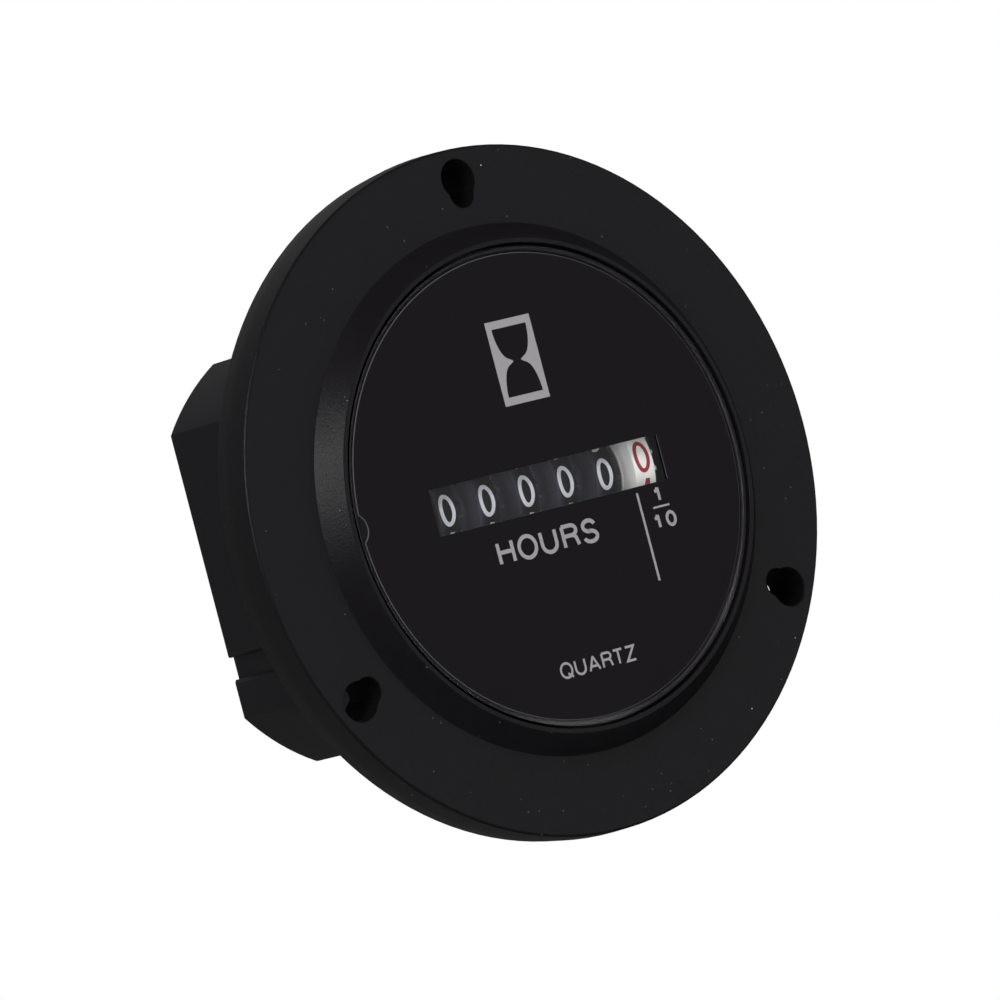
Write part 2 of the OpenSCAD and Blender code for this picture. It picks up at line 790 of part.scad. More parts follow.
module stator() {
    color("#8d9093") along_x(stator_x, stator_x + stator_t) difference() {
        translate([stator_left_y, stator_low_z])
            square([stator_right_y - stator_left_y, leg_top_z - stator_low_z]);
        translate([leg_inner_y, slot_floor_z])
            square([leg_far_y - leg_inner_y, leg_top_z - slot_floor_z + through]);
        translate(rotor_axis) circle(stator_hole_r);
        translate([rotor_axis[0] - neck_w / 2, stator_low_z - through])
            square([neck_w, through + neck_w]);
        translate([rotor_axis[0] - neck_w / 2, slot_floor_z - neck_w]) square([neck_w, through + neck_w]);
        for (spot = pillar_spots) translate(spot) circle(motor_screw_r + press_gap);
    }
}

module coil_core() {
    color("#8d9093") translate([stator_x + stator_t, stator_left_y, coil_z - core_h / 2])
        cube([core_t, stator_right_y - stator_left_y, core_h]);
}

module coil_bobbin() {
    y0 = leg_inner_y + coil_play;
    y1 = leg_far_y - coil_play;
    color("#2f6f4f") difference() {
        union() {
            bar_y(y0, y1, bobbin_tube_r, [coil_x, coil_z]);
            bar_y(y0, y0 + bobbin_flange_t, bobbin_d / 2, [coil_x, coil_z]);
            bar_y(y1 - bobbin_flange_t, y1, bobbin_d / 2, [coil_x, coil_z]);
        }
        along_y(y0 - through, y1 + through) translate([coil_x, coil_z])
            square([core_t + 2 * run_gap, core_h + 2 * run_gap], center = true);
    }
}

module coil_winding() {
    y0 = leg_inner_y + coil_play + bobbin_flange_t;
    y1 = leg_far_y - coil_play - bobbin_flange_t;
    color("#b5652b") along_y(y0, y1) translate([coil_x, coil_z]) difference() {
        circle(winding_d / 2);
        circle(bobbin_tube_r + press_gap);
    }
}

module coil_pins() {
    color("#c9ccce") for (s = [-1, 1])
        bar_y(leg_far_y - coil_play, board_back_y, pin_r,
            [coil_x + s * pin_offset[0], coil_z + pin_offset[1]]);
}

module motor_bridge() {
    color("#d9d4c5") difference() {
        union() {
            along_x(bridge_x, bridge_x + bridge_t)
                for (spot = pillar_spots) link(rotor_axis, spot, bridge_w);
            for (spot = pillar_spots) bar_x(bridge_x, stator_x, bridge_w / 2, spot);
        }
        bar_x(bridge_x - through, stator_x, arbor_r + run_gap, rotor_axis);
        for (spot = pillar_spots)
            bar_x(bridge_x - through, stator_x + through, motor_screw_r + press_gap, spot);
    }
}

module motor_pillars() {
    x0 = stator_x + stator_t;
    color("#c3a45a") for (spot = pillar_spots) difference() {
        union() {
            bar_x(x0, cheek_in_x, pillar_r, spot);
            bar_x(cheek_in_x, cheek_x, rivet_r, spot);
        }
        bar_x(x0 - through, x0 + motor_screw_grip + press_gap, motor_screw_r + press_gap, spot);
    }
}

module motor_screws() {
    x1 = stator_x + stator_t + motor_screw_grip;
    color("#c9ccce") for (spot = pillar_spots) difference() {
        union() {
            bar_x(bridge_x, x1, motor_screw_r, spot);
            bar_x(bridge_x - motor_screw_head_t, bridge_x, motor_screw_head_r, spot);
        }
        along_x(bridge_x - motor_screw_head_t - through, bridge_x - motor_screw_head_t + slot_depth)
            translate(spot) square([2 * motor_screw_head_r + through, slot_w], center = true);
    }
}

module circuit_board() {
    color("#2e6b3a") along_y(board_y, board_back_y) difference() {
        translate([-board_half_w, board_low_z]) square([2 * board_half_w, board_top_z - board_low_z]);
        for (s = [-1, 1]) {
            translate([s * board_screw_x, board_screw_z]) circle(screw_r + collar_gap);
            translate([s * blade_spacing / 2, 0])
                square([blade_t + 2 * run_gap, tail_w + 2 * run_gap], center = true);
            translate([coil_x + s * pin_offset[0], coil_z + pin_offset[1]]) circle(pin_r + press_gap);
        }
    }
}

// A wire lead that runs along X, bends and enters the board at the given place in X and Z
module bent_lead(from_x, at, height) {
    side = sign(at[0] - from_x);
    along_x(min(from_x, at[0] - side * wire_bend_r), max(from_x, at[0] - side * wire_bend_r))
        translate([board_y - height, at[1]]) circle(wire_r);
    translate([at[0] - side * wire_bend_r, board_y - height + wire_bend_r, at[1]])
        rotate([0, 0, side > 0 ? -90 : 180])
            rotate_extrude(angle = 90) translate([wire_bend_r, 0]) circle(wire_r);
    bar_y(board_y - height + wire_bend_r, board_y, wire_r, at);
}

// The crystal's can lies on the board with its two leads bent into it
module quartz_crystal() {
    lead_x = crystal_at[0] - crystal_len / 2 - crystal_lead_len;
    color("#c9ccce") {
        bar_x(crystal_at[0] - crystal_len / 2, crystal_at[0] + crystal_len / 2, crystal_r,
            [board_y - crystal_r, crystal_at[1]]);
        for (s = [-1, 1])
            bent_lead(crystal_at[0] - crystal_len / 2, [lead_x, crystal_at[1] + s * crystal_lead_pitch / 2],
                crystal_r);
    }
}

module timer_chip() {
    leg_z = (chip_size[2] + chip_leg[2]) / 2;
    color("#26262a") {
        translate([chip_at[0], board_y - chip_size[1] / 2, chip_at[1]]) cube(chip_size, center = true);
        for (i = [0:chip_legs - 1], s = [-1, 1])
            translate([
                chip_at[0] + (i - (chip_legs - 1) / 2) * chip_leg_pitch,
                board_y - chip_leg[1] / 2,
                chip_at[1] + s * leg_z
            ]) cube(chip_leg, center = true);
    }
}

module capacitor() {
    top_y = board_y - capacitor_len;
    color("#3a3f63") difference() {
        bar_y(top_y, board_y, capacitor_r, capacitor_at);
        along_y(top_y - through, top_y + vent_depth) translate(capacitor_at) {
            square([2 * capacitor_r + through, vent_w], center = true);
            square([vent_w, 2 * capacitor_r + through], center = true);
        }
    }
}

// A wire-ended part that lies along X on the board
module axial_part(at, r, len, span) {
    bar_x(at[0] - len / 2, at[0] + len / 2, r, [board_y - r, at[1]]);
    for (s = [-1, 1]) bent_lead(at[0] + s * len / 2, [at[0] + s * span / 2, at[1]], r);
}

module resistor() {
    color("#c7a981") axial_part(resistor_at, resistor_r, resistor_len, resistor_span);
}

module diode() {
    color("#2b2b2e") axial_part(diode_at, diode_r, diode_len, diode_span);
}

// A blade terminal with a shoulder inside the rear wall and a tail through the board
module terminal(side) {
    tip_y = body_depth + blade_len;
    shoulder_y = rear_inside_y - shoulder_t;
    x = side * blade_spacing / 2;
    color("#c8b27a") along_x(x - blade_t / 2, x + blade_t / 2) difference() {
        union() {
            translate([board_y - tail_proud, -tail_w / 2])
                square([rear_inside_y - board_y + tail_proud, tail_w]);
            translate([shoulder_y, -shoulder_w / 2]) square([shoulder_t, shoulder_w]);
            polygon([
                [rear_inside_y, -blade_w / 2], [tip_y - blade_tip, -blade_w / 2],
                [tip_y, blade_tip / 2 - blade_w / 2], [tip_y, blade_w / 2 - blade_tip / 2],
                [tip_y - blade_tip, blade_w / 2], [rear_inside_y, blade_w / 2]
            ]);
        }
        translate([tip_y - blade_hole_from_tip, 0]) circle(blade_hole_r);
    }
}

module terminal_positive() {
    terminal(1);
}

module terminal_negative() {
    terminal(-1);
}

// A pan-head screw along Y with a slot across its head
module pan_screw(at, head_y, length) {
    difference() {
        union() {
            bar_y(head_y, head_y + screw_head_t, screw_head_r, at);
            bar_y(head_y, head_y + screw_head_t + length, screw_r, at);
        }
        along_y(head_y - through, head_y + slot_depth)
            translate(at) square([2 * screw_head_r + through, slot_w], center = true);
    }
}

module frame_screws() {
    color("#c9ccce") for (x = tab_xs)
        pan_screw([x, tab_hole_z], tab_front_y - screw_head_t, sheet_t + screw_grip - side_gap);
}

module board_screws() {
    color("#c9ccce") for (s = [-1, 1])
        pan_screw([s * board_screw_x, board_screw_z], board_y - screw_head_t,
            board_t + board_standoff - side_gap);
}

flange_bezel();
lens();
face_overlay();
housing();
counter_frame();
wheel_shaft();
pinion_shaft();
wheel_ten_thousands();
wheel_thousands();
wheel_hundreds();
wheel_tens();
wheel_units();
wheel_tenths();
carry_pinion_ten_thousands();
carry_pinion_thousands();
carry_pinion_hundreds();
carry_pinion_tens();
carry_pinion_units();
second_gear();
first_gear();
second_stud();
first_stud();
rotor_arbor();
rotor_magnet();
stator();
coil_core();
coil_bobbin();
coil_winding();
coil_pins();
motor_bridge();
motor_pillars();
motor_screws();
circuit_board();
quartz_crystal();
timer_chip();
capacitor();
resistor();
diode();
terminal_positive();
terminal_negative();
frame_screws();
board_screws();
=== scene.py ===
"""Looks of a round flange-mounted hour meter: mouldings, printed face, number wheels, works and studio."""

import json
import logging
import math
from dataclasses import dataclass
from enum import Enum
from typing import Any, Callable, Iterable, Sequence

import bmesh
import bpy
from mathutils import Matrix, Vector

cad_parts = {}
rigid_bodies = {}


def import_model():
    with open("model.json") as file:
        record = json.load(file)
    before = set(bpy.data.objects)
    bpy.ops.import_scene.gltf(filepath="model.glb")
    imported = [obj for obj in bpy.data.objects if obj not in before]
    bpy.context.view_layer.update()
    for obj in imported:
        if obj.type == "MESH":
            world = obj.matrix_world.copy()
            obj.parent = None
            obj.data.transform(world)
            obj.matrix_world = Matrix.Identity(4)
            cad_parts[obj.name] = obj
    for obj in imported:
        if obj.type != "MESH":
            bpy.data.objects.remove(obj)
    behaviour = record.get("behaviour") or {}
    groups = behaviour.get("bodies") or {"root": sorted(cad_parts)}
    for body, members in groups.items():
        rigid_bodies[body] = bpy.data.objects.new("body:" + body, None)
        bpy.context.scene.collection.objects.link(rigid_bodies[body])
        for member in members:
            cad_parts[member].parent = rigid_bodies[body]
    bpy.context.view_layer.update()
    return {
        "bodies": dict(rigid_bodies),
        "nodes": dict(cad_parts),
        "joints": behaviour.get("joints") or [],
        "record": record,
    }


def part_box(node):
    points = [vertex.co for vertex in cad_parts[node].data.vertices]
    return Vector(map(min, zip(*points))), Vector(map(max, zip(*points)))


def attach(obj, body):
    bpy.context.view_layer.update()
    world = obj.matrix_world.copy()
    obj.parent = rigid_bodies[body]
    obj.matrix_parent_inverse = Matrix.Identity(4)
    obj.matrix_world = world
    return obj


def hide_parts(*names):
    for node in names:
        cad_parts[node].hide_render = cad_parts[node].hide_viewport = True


LOG = logging.getLogger("hour_meter")
MM = 0.001
STROKE_LIFT = 0.002 * MM
LINE_STEP = 0.3 * MM
SAME_POINT = 0.0001 * MM
CLOSED_GAP = 0.001 * MM
SHARPEST_MITRE = 0.45
QUARTER_TURN = math.radians(90.0)
WAVE_PERIOD = 0.314

Colour = tuple[float, float, float]
Point = tuple[float, float]


def srgb(red: float, green: float, blue: float) -> Colour:
    """Turn a colour of 0 to 255 screen values into the linear values that a shader takes.

    Args:
        red: Red on the screen.
        green: Green on the screen.
        blue: Blue on the screen.

    Returns:
        The three linear values.
    """

    def linear(value: float) -> float:
        """Undo the screen's curve for one channel."""
        share = value / 255.0
        return share / 12.92 if share <= 0.04045 else ((share + 0.055) / 1.055) ** 2.4

    return linear(red), linear(green), linear(blue)


def scaled(colour: Colour, share: float) -> Colour:
    """A darker or lighter form of a colour."""
    red, green, blue = colour
    return share * red, share * green, share * blue


def direction(azimuth: float, elevation: float) -> Vector:
    """The way to a place round the object.

    Args:
        azimuth: Degrees to the right of the front.
        elevation: Degrees above the level.

    Returns:
        A vector of length one.
    """
    turn, rise = math.radians(azimuth), math.radians(elevation)
    return Vector((math.sin(turn) * math.cos(rise), -math.cos(turn) * math.cos(rise), math.sin(rise)))


def maths(operation: str, swapped: bool = False) -> Callable[["Shade", Any], "Shade"]:
    """A method of Shade for one of Python's operators, or for its reflected form."""

    def method(shade: "Shade", other: Any) -> "Shade":
        """Add the operator's Math node."""
        first, second = (other, shade) if swapped else (shade, other)
        return shade.graph.math(operation, first, second)

    return method


class Shade:
    """A number in a shader graph that takes Python's operators."""

    __add__ = maths("ADD")
    __radd__ = maths("ADD", True)
    __sub__ = maths("SUBTRACT")
    __rsub__ = maths("SUBTRACT", True)
    __mul__ = maths("MULTIPLY")
    __rmul__ = maths("MULTIPLY", True)
    __gt__ = maths("GREATER_THAN")

    def __init__(self, graph: "Graph", socket: bpy.types.NodeSocket) -> None:
        """Wrap an output socket of a graph."""
        self.graph = graph
        self.socket = socket

    def clamped(self) -> "Shade":
        """Keep the value between nought and one."""
        return self.graph.shade("ShaderNodeClamp", None, {"Value": self})


class Graph:
    """A shader graph to which nodes are added by name."""

    def __init__(self, tree: bpy.types.NodeTree) -> None:
        """Empty the tree of a material or world."""
        self.tree = tree
        tree.nodes.clear()

    def node(
        self, kind: str, settings: dict[str, Any] | None = None, inputs: dict[Any, Any] | None = None
    ) -> bpy.types.Node:
        """Add any node.

        Args:
            kind: The node's type.
            settings: Properties, which are set first.
            inputs: Values or links of its sockets, by name or number.

        Returns:
            The new node.
        """
        made = self.tree.nodes.new(kind)
        for name, value in (settings or {}).items():
            setattr(made, name, value)
        for key, value in (inputs or {}).items():
            if isinstance(value, Shade):
                self.tree.links.new(value.socket, made.inputs[key])
            elif isinstance(value, bpy.types.NodeSocket):
                self.tree.links.new(value, made.inputs[key])
            else:
                made.inputs[key].default_value = value
        return made

    def shade(
        self, kind: str, settings: dict[str, Any] | None, inputs: dict[Any, Any], output: Any = 0
    ) -> Shade:
        """Add a node and wrap one of its outputs."""
        return Shade(self, self.node(kind, settings, inputs).outputs[output])

    def math(self, operation: str, first: Any, second: Any) -> Shade:
        """Add a Math node for two values."""
        return self.shade("ShaderNodeMath", {"operation": operation}, {0: first, 1: second})

    def mix(self, factor: Shade, first: Any, second: Any) -> Shade:
        """Mix two colours by a factor."""
        sides = {6: first, 7: second}
        sides = {key: (*value, 1.0) if isinstance(value, tuple) else value for key, value in sides.items()}
        return self.shade("ShaderNodeMix", {"data_type": "RGBA"}, {0: factor, **sides}, 2)

    def toned(self, factor: Shade, colour: Colour, share: float) -> Shade:
        """A colour that goes from darker to lighter by a share of itself."""
        return self.mix(factor, scaled(colour, 1.0 - share), scaled(colour, 1.0 + share))

    def place(self) -> bpy.types.NodeSocket:
        """The surface point in the object's own coordinates."""
        return self.node("ShaderNodeTexCoord").outputs["Object"]

    def stretched(self, scale: Sequence[float]) -> bpy.types.NodeSocket:
        """The surface point with its axes stretched."""
        return self.node("ShaderNodeMapping", None, {"Vector": self.place(), "Scale": scale}).outputs[0]

    def noise(self, size: float, detail: float = 2.0, roughness: float = 0.5, vector: Any = None) -> Shade:
        """Soft noise with cells of a size in metres.

        Args:
            size: Width of a cell.
            detail: How many finer layers are added.
            roughness: How strong the finer layers are.
            vector: Where it is read, or the surface point.

        Returns:
            A value about one half.
        """
        inputs = {
            "Vector": vector or self.place(),
            "Scale": 1.0 / size,
            "Detail": detail,
            "Roughness": roughness,
        }
        return self.shade("ShaderNodeTexNoise", None, inputs)

    def along_x(self) -> Shade:
        """The surface point's place along X."""
        return self.shade("ShaderNodeSeparateXYZ", None, {0: self.place()})

    def away(self, x: float, z: float) -> Shade:
        """How far the surface point is from an axis along Y."""
        points = {0: self.stretched((1.0, 0.0, 1.0)), 1: (x, 0.0, z)}
        return self.shade("ShaderNodeVectorMath", {"operation": "DISTANCE"}, points, "Value")

    def eased(self, value: Shade, start: float, end: float) -> Shade:
        """A soft step from nought at the start to one at the end."""
        inputs = {"Value": value, "From Min": start, "From Max": end}
        return self.shade("ShaderNodeMapRange", {"interpolation_type": "SMOOTHSTEP"}, inputs)

    def wave(self, axis: str, period: float, distortion: float) -> Shade:
        """Even bands along an axis, with a period in metres."""
        settings = {"wave_type": "BANDS", "bands_direction": axis, "wave_profile": "SIN"}
        scale = WAVE_PERIOD / period
        inputs = {"Vector": self.place(), "Scale": scale, "Distortion": distortion, "Detail": 1.0}
        return self.shade("ShaderNodeTexWave", settings, inputs, "Fac")

    def specks(self, spacing: float, radius: float) -> Shade:
        """Round specks, one where a cell of a size in metres has its middle."""
        inputs = {"Vector": self.place(), "Scale": 1.0 / spacing, "Randomness": 1.0}
        return radius / spacing - self.shade("ShaderNodeTexVoronoi", None, inputs, "Distance") > 0.0

    def bump(self, height: Shade, depth: float) -> bpy.types.NodeSocket:
        """A normal that is roughened by a height of a depth in metres."""
        inputs = {"Strength": 1.0, "Distance": depth, "Height": height}
        return self.node("ShaderNodeBump", None, inputs).outputs[0]

    def show(self, shader: bpy.types.NodeSocket, output: str = "ShaderNodeOutputMaterial") -> None:
        """Connect a shader to the output."""
        self.node(output, None, {"Surface": shader})

    def coat(self, inputs: dict[str, Any]) -> None:
        """Connect one opaque surface with these inputs to the output."""
        self.show(self.node("ShaderNodeBsdfPrincipled", None, inputs).outputs[0])


@dataclass(frozen=True)
class Finish:
    """What every finish has: a name and a way to make its material."""

    name: str

    def material(self) -> bpy.types.Material:
        """Make the material, or return the one that was made before."""
        known = bpy.data.materials.get(self.name)
        if known is not None:
            return known
        made = bpy.data.materials.new(self.name)
        made.use_nodes = True
        self.dress(Graph(made.node_tree))
        return made

    def dress(self, graph: Graph) -> None:
        """Fill the graph."""
        raise NotImplementedError


@dataclass(frozen=True)
class DustLayer:
    """Specks of dust of one size, kept to where a soft noise is above a level."""

    spacing: float
    radius: float
    level: float
    share: float


DUST_COLOUR = srgb(190, 190, 186)
DUST_CLUMP = 7.0 * MM
DUST_LAYERS = (DustLayer(1.5 * MM, 0.1 * MM, 0.48, 0.16), DustLayer(3.0 * MM, 0.085 * MM, 0.54, 1.0))
PAINTED_HOLE_SHADE = srgb(4, 3, 4)


@dataclass(frozen=True)
class Moulding(Finish):
    """Moulded plastic with a fine eroded grain and cloudy gloss; some get dust or painted shade in their
    holes.

    A shaded spot is a hole's place in X and Z and how far its painted shade reaches.
    """

    colour: Colour = (0.01, 0.01, 0.01)
    roughness: float = 0.45
    gloss: float = 0.5
    grain: float = 0.16 * MM
    grain_depth: float = 0.004 * MM
    cloud: float = 6.0 * MM
    dust: float = 0.0
    pits: tuple[tuple[float, float, float], ...] = ()
    cloud_tone: float = 0.18
    cloud_rough: float = 0.12
    grain_rough: float = 0.1
    pit_rough: float = 0.5

    def dress(self, graph: Graph) -> None:
        """Fill the graph."""
        cloud = graph.noise(self.cloud, 3.0)
        fine = graph.noise(self.grain, 3.0, 0.6)
        colour = self.tinted(graph, graph.toned(cloud, self.colour, self.cloud_tone))
        roughness = self.roughness + self.cloud_rough * (cloud - 0.5) + self.grain_rough * (fine - 0.5)
        if self.dust:
            clump = graph.noise(DUST_CLUMP)
            for layer in DUST_LAYERS:
                speck = graph.specks(layer.spacing, layer.radius) * (clump > layer.level)
                colour = graph.mix(layer.share * self.dust * speck, colour, DUST_COLOUR)
        # Painted shade: inside each mounting hole the colour goes nearly black and the surface goes rougher.
        for x, z, radius in self.pits:
            in_hole_shade = radius - graph.away(x, z) > 0.0
            colour = graph.mix(in_hole_shade, colour, PAINTED_HOLE_SHADE)
            roughness = roughness + self.pit_rough * in_hole_shade
        graph.coat(
            {
                "Base Color": colour,
                "Roughness": roughness,
                "Specular IOR Level": self.gloss,
                "Normal": graph.bump(fine, self.grain_depth),
            }
        )

    def tinted(self, graph: Graph, colour: Shade) -> Shade:
        """The colour with what a kind of plastic adds to it."""
        return colour


@dataclass(frozen=True)
class WheelPlastic(Moulding):
    """Number-wheel plastic: a painted highlight streak on each black rim, or a darker left part on the white
    wheel.
    """

    other: Colour = (0.05, 0.05, 0.06)
    pitch: float = 5.14 * MM
    streak_x: float = 0.0
    streak_grain: float = 0.7 * MM
    ring_end: float = 0.0
    ring_fade: tuple[float, float] = (0.2 * MM, 0.25 * MM)

    def tinted(self, graph: Graph, colour: Shade) -> Shade:
        """The colour with its painted highlight streaks, or darker to the left of the ring's end."""
        along = graph.along_x()
        # Darker to the left of ring_end, fading over a short soft edge.
        if self.ring_end:
            before, after = self.ring_fade
            ring = 1.0 - graph.eased(along, self.ring_end - before, self.ring_end + after)
            return graph.mix(ring, colour, self.other)
        # Painted highlight: a soft lighter streak once per wheel pitch along X, broken up by noise.
        turn = (along - self.streak_x) * (math.tau / self.pitch)
        highlight_band = graph.math("POWER", 0.5 + 0.5 * graph.math("COSINE", turn, 0.0), 2.0)
        uneven = graph.noise(self.streak_grain, 2.0, 0.5, graph.stretched((1.0, 0.1, 0.1)))
        return graph.mix(highlight_band * uneven, colour, self.other)


@dataclass(frozen=True)
class Metal(Finish):
    """Rolled or drawn metal with fine lines along one axis and cloudy tarnish."""

    colour: Colour = (0.6, 0.6, 0.6)
    roughness: float = 0.32
    lines: tuple[float, float, float] = (1.0, 12.0, 12.0)
    line_size: float = 0.5 * MM
    line_depth: float = 0.002 * MM
    line_rough: float = 0.2
    tarnish: float = 0.25
    cloud: float = 2.5 * MM
    cloud_rough: float = 0.15

    def dress(self, graph: Graph) -> None:
        """Fill the graph."""
        drawn = graph.noise(self.line_size, 2.0, 0.6, graph.stretched(self.lines))
        cloud = graph.noise(self.cloud, 3.0)
        uneven = self.line_rough * (drawn - 0.5) + self.cloud_rough * (cloud - 0.5)
        graph.coat(
            {
                "Base Color": graph.mix(cloud, scaled(self.colour, 1.0 - self.tarnish), self.colour),
                "Metallic": 1.0,
                "Roughness": self.roughness + uneven,
                "Normal": graph.bump(drawn, self.line_depth),
            }
        )


@dataclass(frozen=True)
class Film(Finish):
    """Printed polyester film: an even satin skin with a faint ripple."""

    colour: Colour = (0.01, 0.01, 0.01)
    roughness: float = 0.4
    gloss: float = 0.4
    ripple: float = 1.6 * MM
    ripple_depth: float = 0.0008 * MM
    haze: float = 11.0 * MM
    haze_tone: float = 0.08
    haze_rough: float = 0.05

    def dress(self, graph: Graph) -> None:
        """Fill the graph."""
        ripple = graph.noise(self.ripple)
        haze = graph.noise(self.haze)
        graph.coat(
            {
                "Base Color": graph.toned(haze, self.colour, self.haze_tone),
                "Roughness": self.roughness + self.haze_rough * (haze - 0.5),
                "Specular IOR Level": self.gloss,
                "Normal": graph.bump(ripple, self.ripple_depth),
            }
        )


@dataclass(frozen=True)
class Ink(Finish):
    """Screen-printed ink with a slightly uneven cover."""

    colour: Colour = (0.3, 0.3, 0.3)
    roughness: float = 0.55
    gloss: float = 0.25
    cover: float = 0.22 * MM
    cover_depth: float = 0.002 * MM
    cover_rough: float = 0.1
    thin: float = 0.9

    def dress(self, graph: Graph) -> None:
        """Fill the graph."""
        cover = graph.noise(self.cover, 3.0, 0.6)
        graph.coat(
            {
                "Base Color": graph.mix(cover, scaled(self.colour, self.thin), self.colour),
                "Roughness": self.roughness + self.cover_rough * (cover - 0.5),
                "Specular IOR Level": self.gloss,
                "Normal": graph.bump(cover, self.cover_depth),
            }
        )


@dataclass(frozen=True)
class ClearPlastic(Finish):
    """Clear acrylic that lets lamps through to what is behind it, with a slightly rough rim."""

    tint: Colour = (0.97, 0.98, 0.98)
    ior: float = 1.49
    clear_r: float = 24.3 * MM
    rim_fade: float = 0.1 * MM
    rim_rough: float = 0.11
    smear: float = 5.0 * MM
    smear_level: float = 0.45
    smear_rough: float = 0.04

    def dress(self, graph: Graph) -> None:
        """Fill the graph."""
        smear = graph.noise(self.smear, 3.0)
        rim = graph.eased(graph.away(0.0, 0.0), self.clear_r - self.rim_fade, self.clear_r)
        smeared = (self.smear_rough * (smear - self.smear_level)).clamped()
        glass = graph.node(
            "ShaderNodeBsdfPrincipled",
            None,
            {
                "Base Color": (*self.tint, 1.0),
                "Roughness": smeared + self.rim_rough * rim,
                "IOR": self.ior,
                "Transmission Weight": 1.0,
            },
        )
        clear = graph.node("ShaderNodeBsdfTransparent", None, {"Color": (*self.tint, 1.0)})
        path = graph.node("ShaderNodeLightPath")
        lamp_ray = Shade(graph, path.outputs["Is Shadow Ray"]) + Shade(graph, path.outputs["Is Diffuse Ray"])
        sides = {0: lamp_ray.clamped(), 1: glass.outputs[0], 2: clear.outputs[0]}
        graph.show(graph.node("ShaderNodeMixShader", None, sides).outputs[0])


@dataclass(frozen=True)
class Winding(Finish):
    """Enamelled copper wire wound in close turns along Y, with painted shade in the grooves between turns."""

    colour: Colour = (0.55, 0.24, 0.1)
    wire: float = 0.16 * MM
    wander: float = 0.4
    groove: float = 0.45
    groove_depth: float = 0.05 * MM

    def dress(self, graph: Graph) -> None:
        """Fill the graph."""
        # Painted shade: the colour drops to a share of itself where the turns dip into their grooves.
        turns = graph.wave("Y", self.wire, self.wander)
        graph.coat(
            {
                "Base Color": graph.mix(turns, scaled(self.colour, self.groove), self.colour),
                "Metallic": 0.9,
                "Roughness": 0.38 - 0.1 * turns,
                "Normal": graph.bump(turns, self.groove_depth),
            }
        )


@dataclass(frozen=True)
class Laminate(Finish):
    """Circuit board: green mask over woven glass, with copper tracks showing as paler lines."""

    mask: Colour = (0.02, 0.12, 0.04)
    track: Colour = (0.05, 0.2, 0.07)
    track_pitch: float = 5.0 * MM
    track_depth: float = 0.03 * MM
    weave: float = 0.5 * MM
    weave_height: float = 0.2

    def dress(self, graph: Graph) -> None:
        """Fill the graph."""
        inputs = {
            "Vector": self._plane(graph),
            "Scale": 1.0 / self.track_pitch,
            "Mortar Size": 0.06,
            "Mortar Smooth": 0.2,
            "Brick Width": 0.9,
            "Row Height": 0.45,
        }
        tracks = graph.shade("ShaderNodeTexBrick", {"offset": 0.5, "squash": 1.0}, inputs, "Fac")
        weave = graph.noise(self.weave)
        graph.coat(
            {
                "Base Color": graph.mix(tracks, self.mask, self.track),
                "Roughness": 0.35 + 0.15 * (weave - 0.5),
                "Normal": graph.bump(tracks + self.weave_height * weave, self.track_depth),
            }
        )

    @staticmethod
    def _plane(graph: Graph) -> bpy.types.NodeSocket:
        """The surface point with Y turned away, so that a flat pattern lies in X and Z."""
        turn = {"Vector": graph.place(), "Rotation": (QUARTER_TURN, 0.0, 0.0)}
        return graph.node("ShaderNodeMapping", None, turn).outputs[0]


@dataclass(frozen=True)
class Banded(Finish):
    """A wire-ended part with painted bands along X."""

    colour: Colour = (0.5, 0.36, 0.2)
    band: Colour = (0.05, 0.03, 0.02)
    pitch: float = 1.1 * MM
    band_level: float = 0.8
    cloud: float = 1.5 * MM
    cloud_depth: float = 0.01 * MM

    def dress(self, graph: Graph) -> None:
        """Fill the graph."""
        rings = graph.wave("X", self.pitch, 0.0)
        cloud = graph.noise(self.cloud)
        graph.coat(
            {
                "Base Color": graph.mix(rings > self.band_level, self.colour, self.band),
                "Roughness": 0.4 + 0.15 * (cloud - 0.5),
                "Normal": graph.bump(cloud, self.cloud_depth),
            }
        )


HOLE_ANGLES = (90.0, 210.0, 330.0)
HOLE_BORES = ((32.6 * MM, 2.1 * MM), (31.1 * MM, 1.52 * MM))


def hole_pits() -> tuple[tuple[float, float, float], ...]:
    """Where the bores of the mounting holes stand in X and Z, and how far each reaches, for painted shade."""
    turns = [math.radians(angle) for angle in HOLE_ANGLES]
    ways = [(math.cos(turn), math.sin(turn)) for turn in turns]
    return tuple((out * x, out * z, reach) for x, z in ways for out, reach in HOLE_BORES)


# The flange's mounting holes get painted shade.
FLANGE_BLACK = Moulding(
    "flange_black", srgb(15.5, 13.5, 16.5), 0.34, 0.5, 0.24 * MM, 0.03 * MM, dust=0.5, pits=hole_pits()
)
CASE_BLACK = Moulding("case_black", srgb(21.5, 19, 22.5), 0.42, 0.5)
FACE_BLACK = Film("face_black", srgb(17.5, 15, 18.5), 0.35, 0.2)
# A lighter grey on the film's eased outer edge and on the walls of its cuts.
FILM_CUT = Ink("film_cut", srgb(70, 69, 72))
RIM_BLACK = Film("rim_black", srgb(25, 23, 26), 0.4, 0.3)
FACE_PRINT = Ink("face_print", srgb(137, 135, 138))
LENS_CLEAR = ClearPlastic("lens_clear")
# Its second colour is the painted highlight of the streak on each rim.
WHEEL_BLACK = WheelPlastic(
    "wheel_black", srgb(10, 9, 12), 0.5, 0.1, other=srgb(92, 90, 108), streak_x=-9.4 * MM
)
WHEEL_WHITE = WheelPlastic(
    "wheel_white", srgb(243, 241, 239), 0.5, 0.3, other=srgb(30, 29, 33), ring_end=11.8 * MM
)
DIGIT_WHITE = Ink("digit_white", srgb(200, 198, 207))
DIGIT_RED = Ink("digit_red", srgb(152, 44, 52))

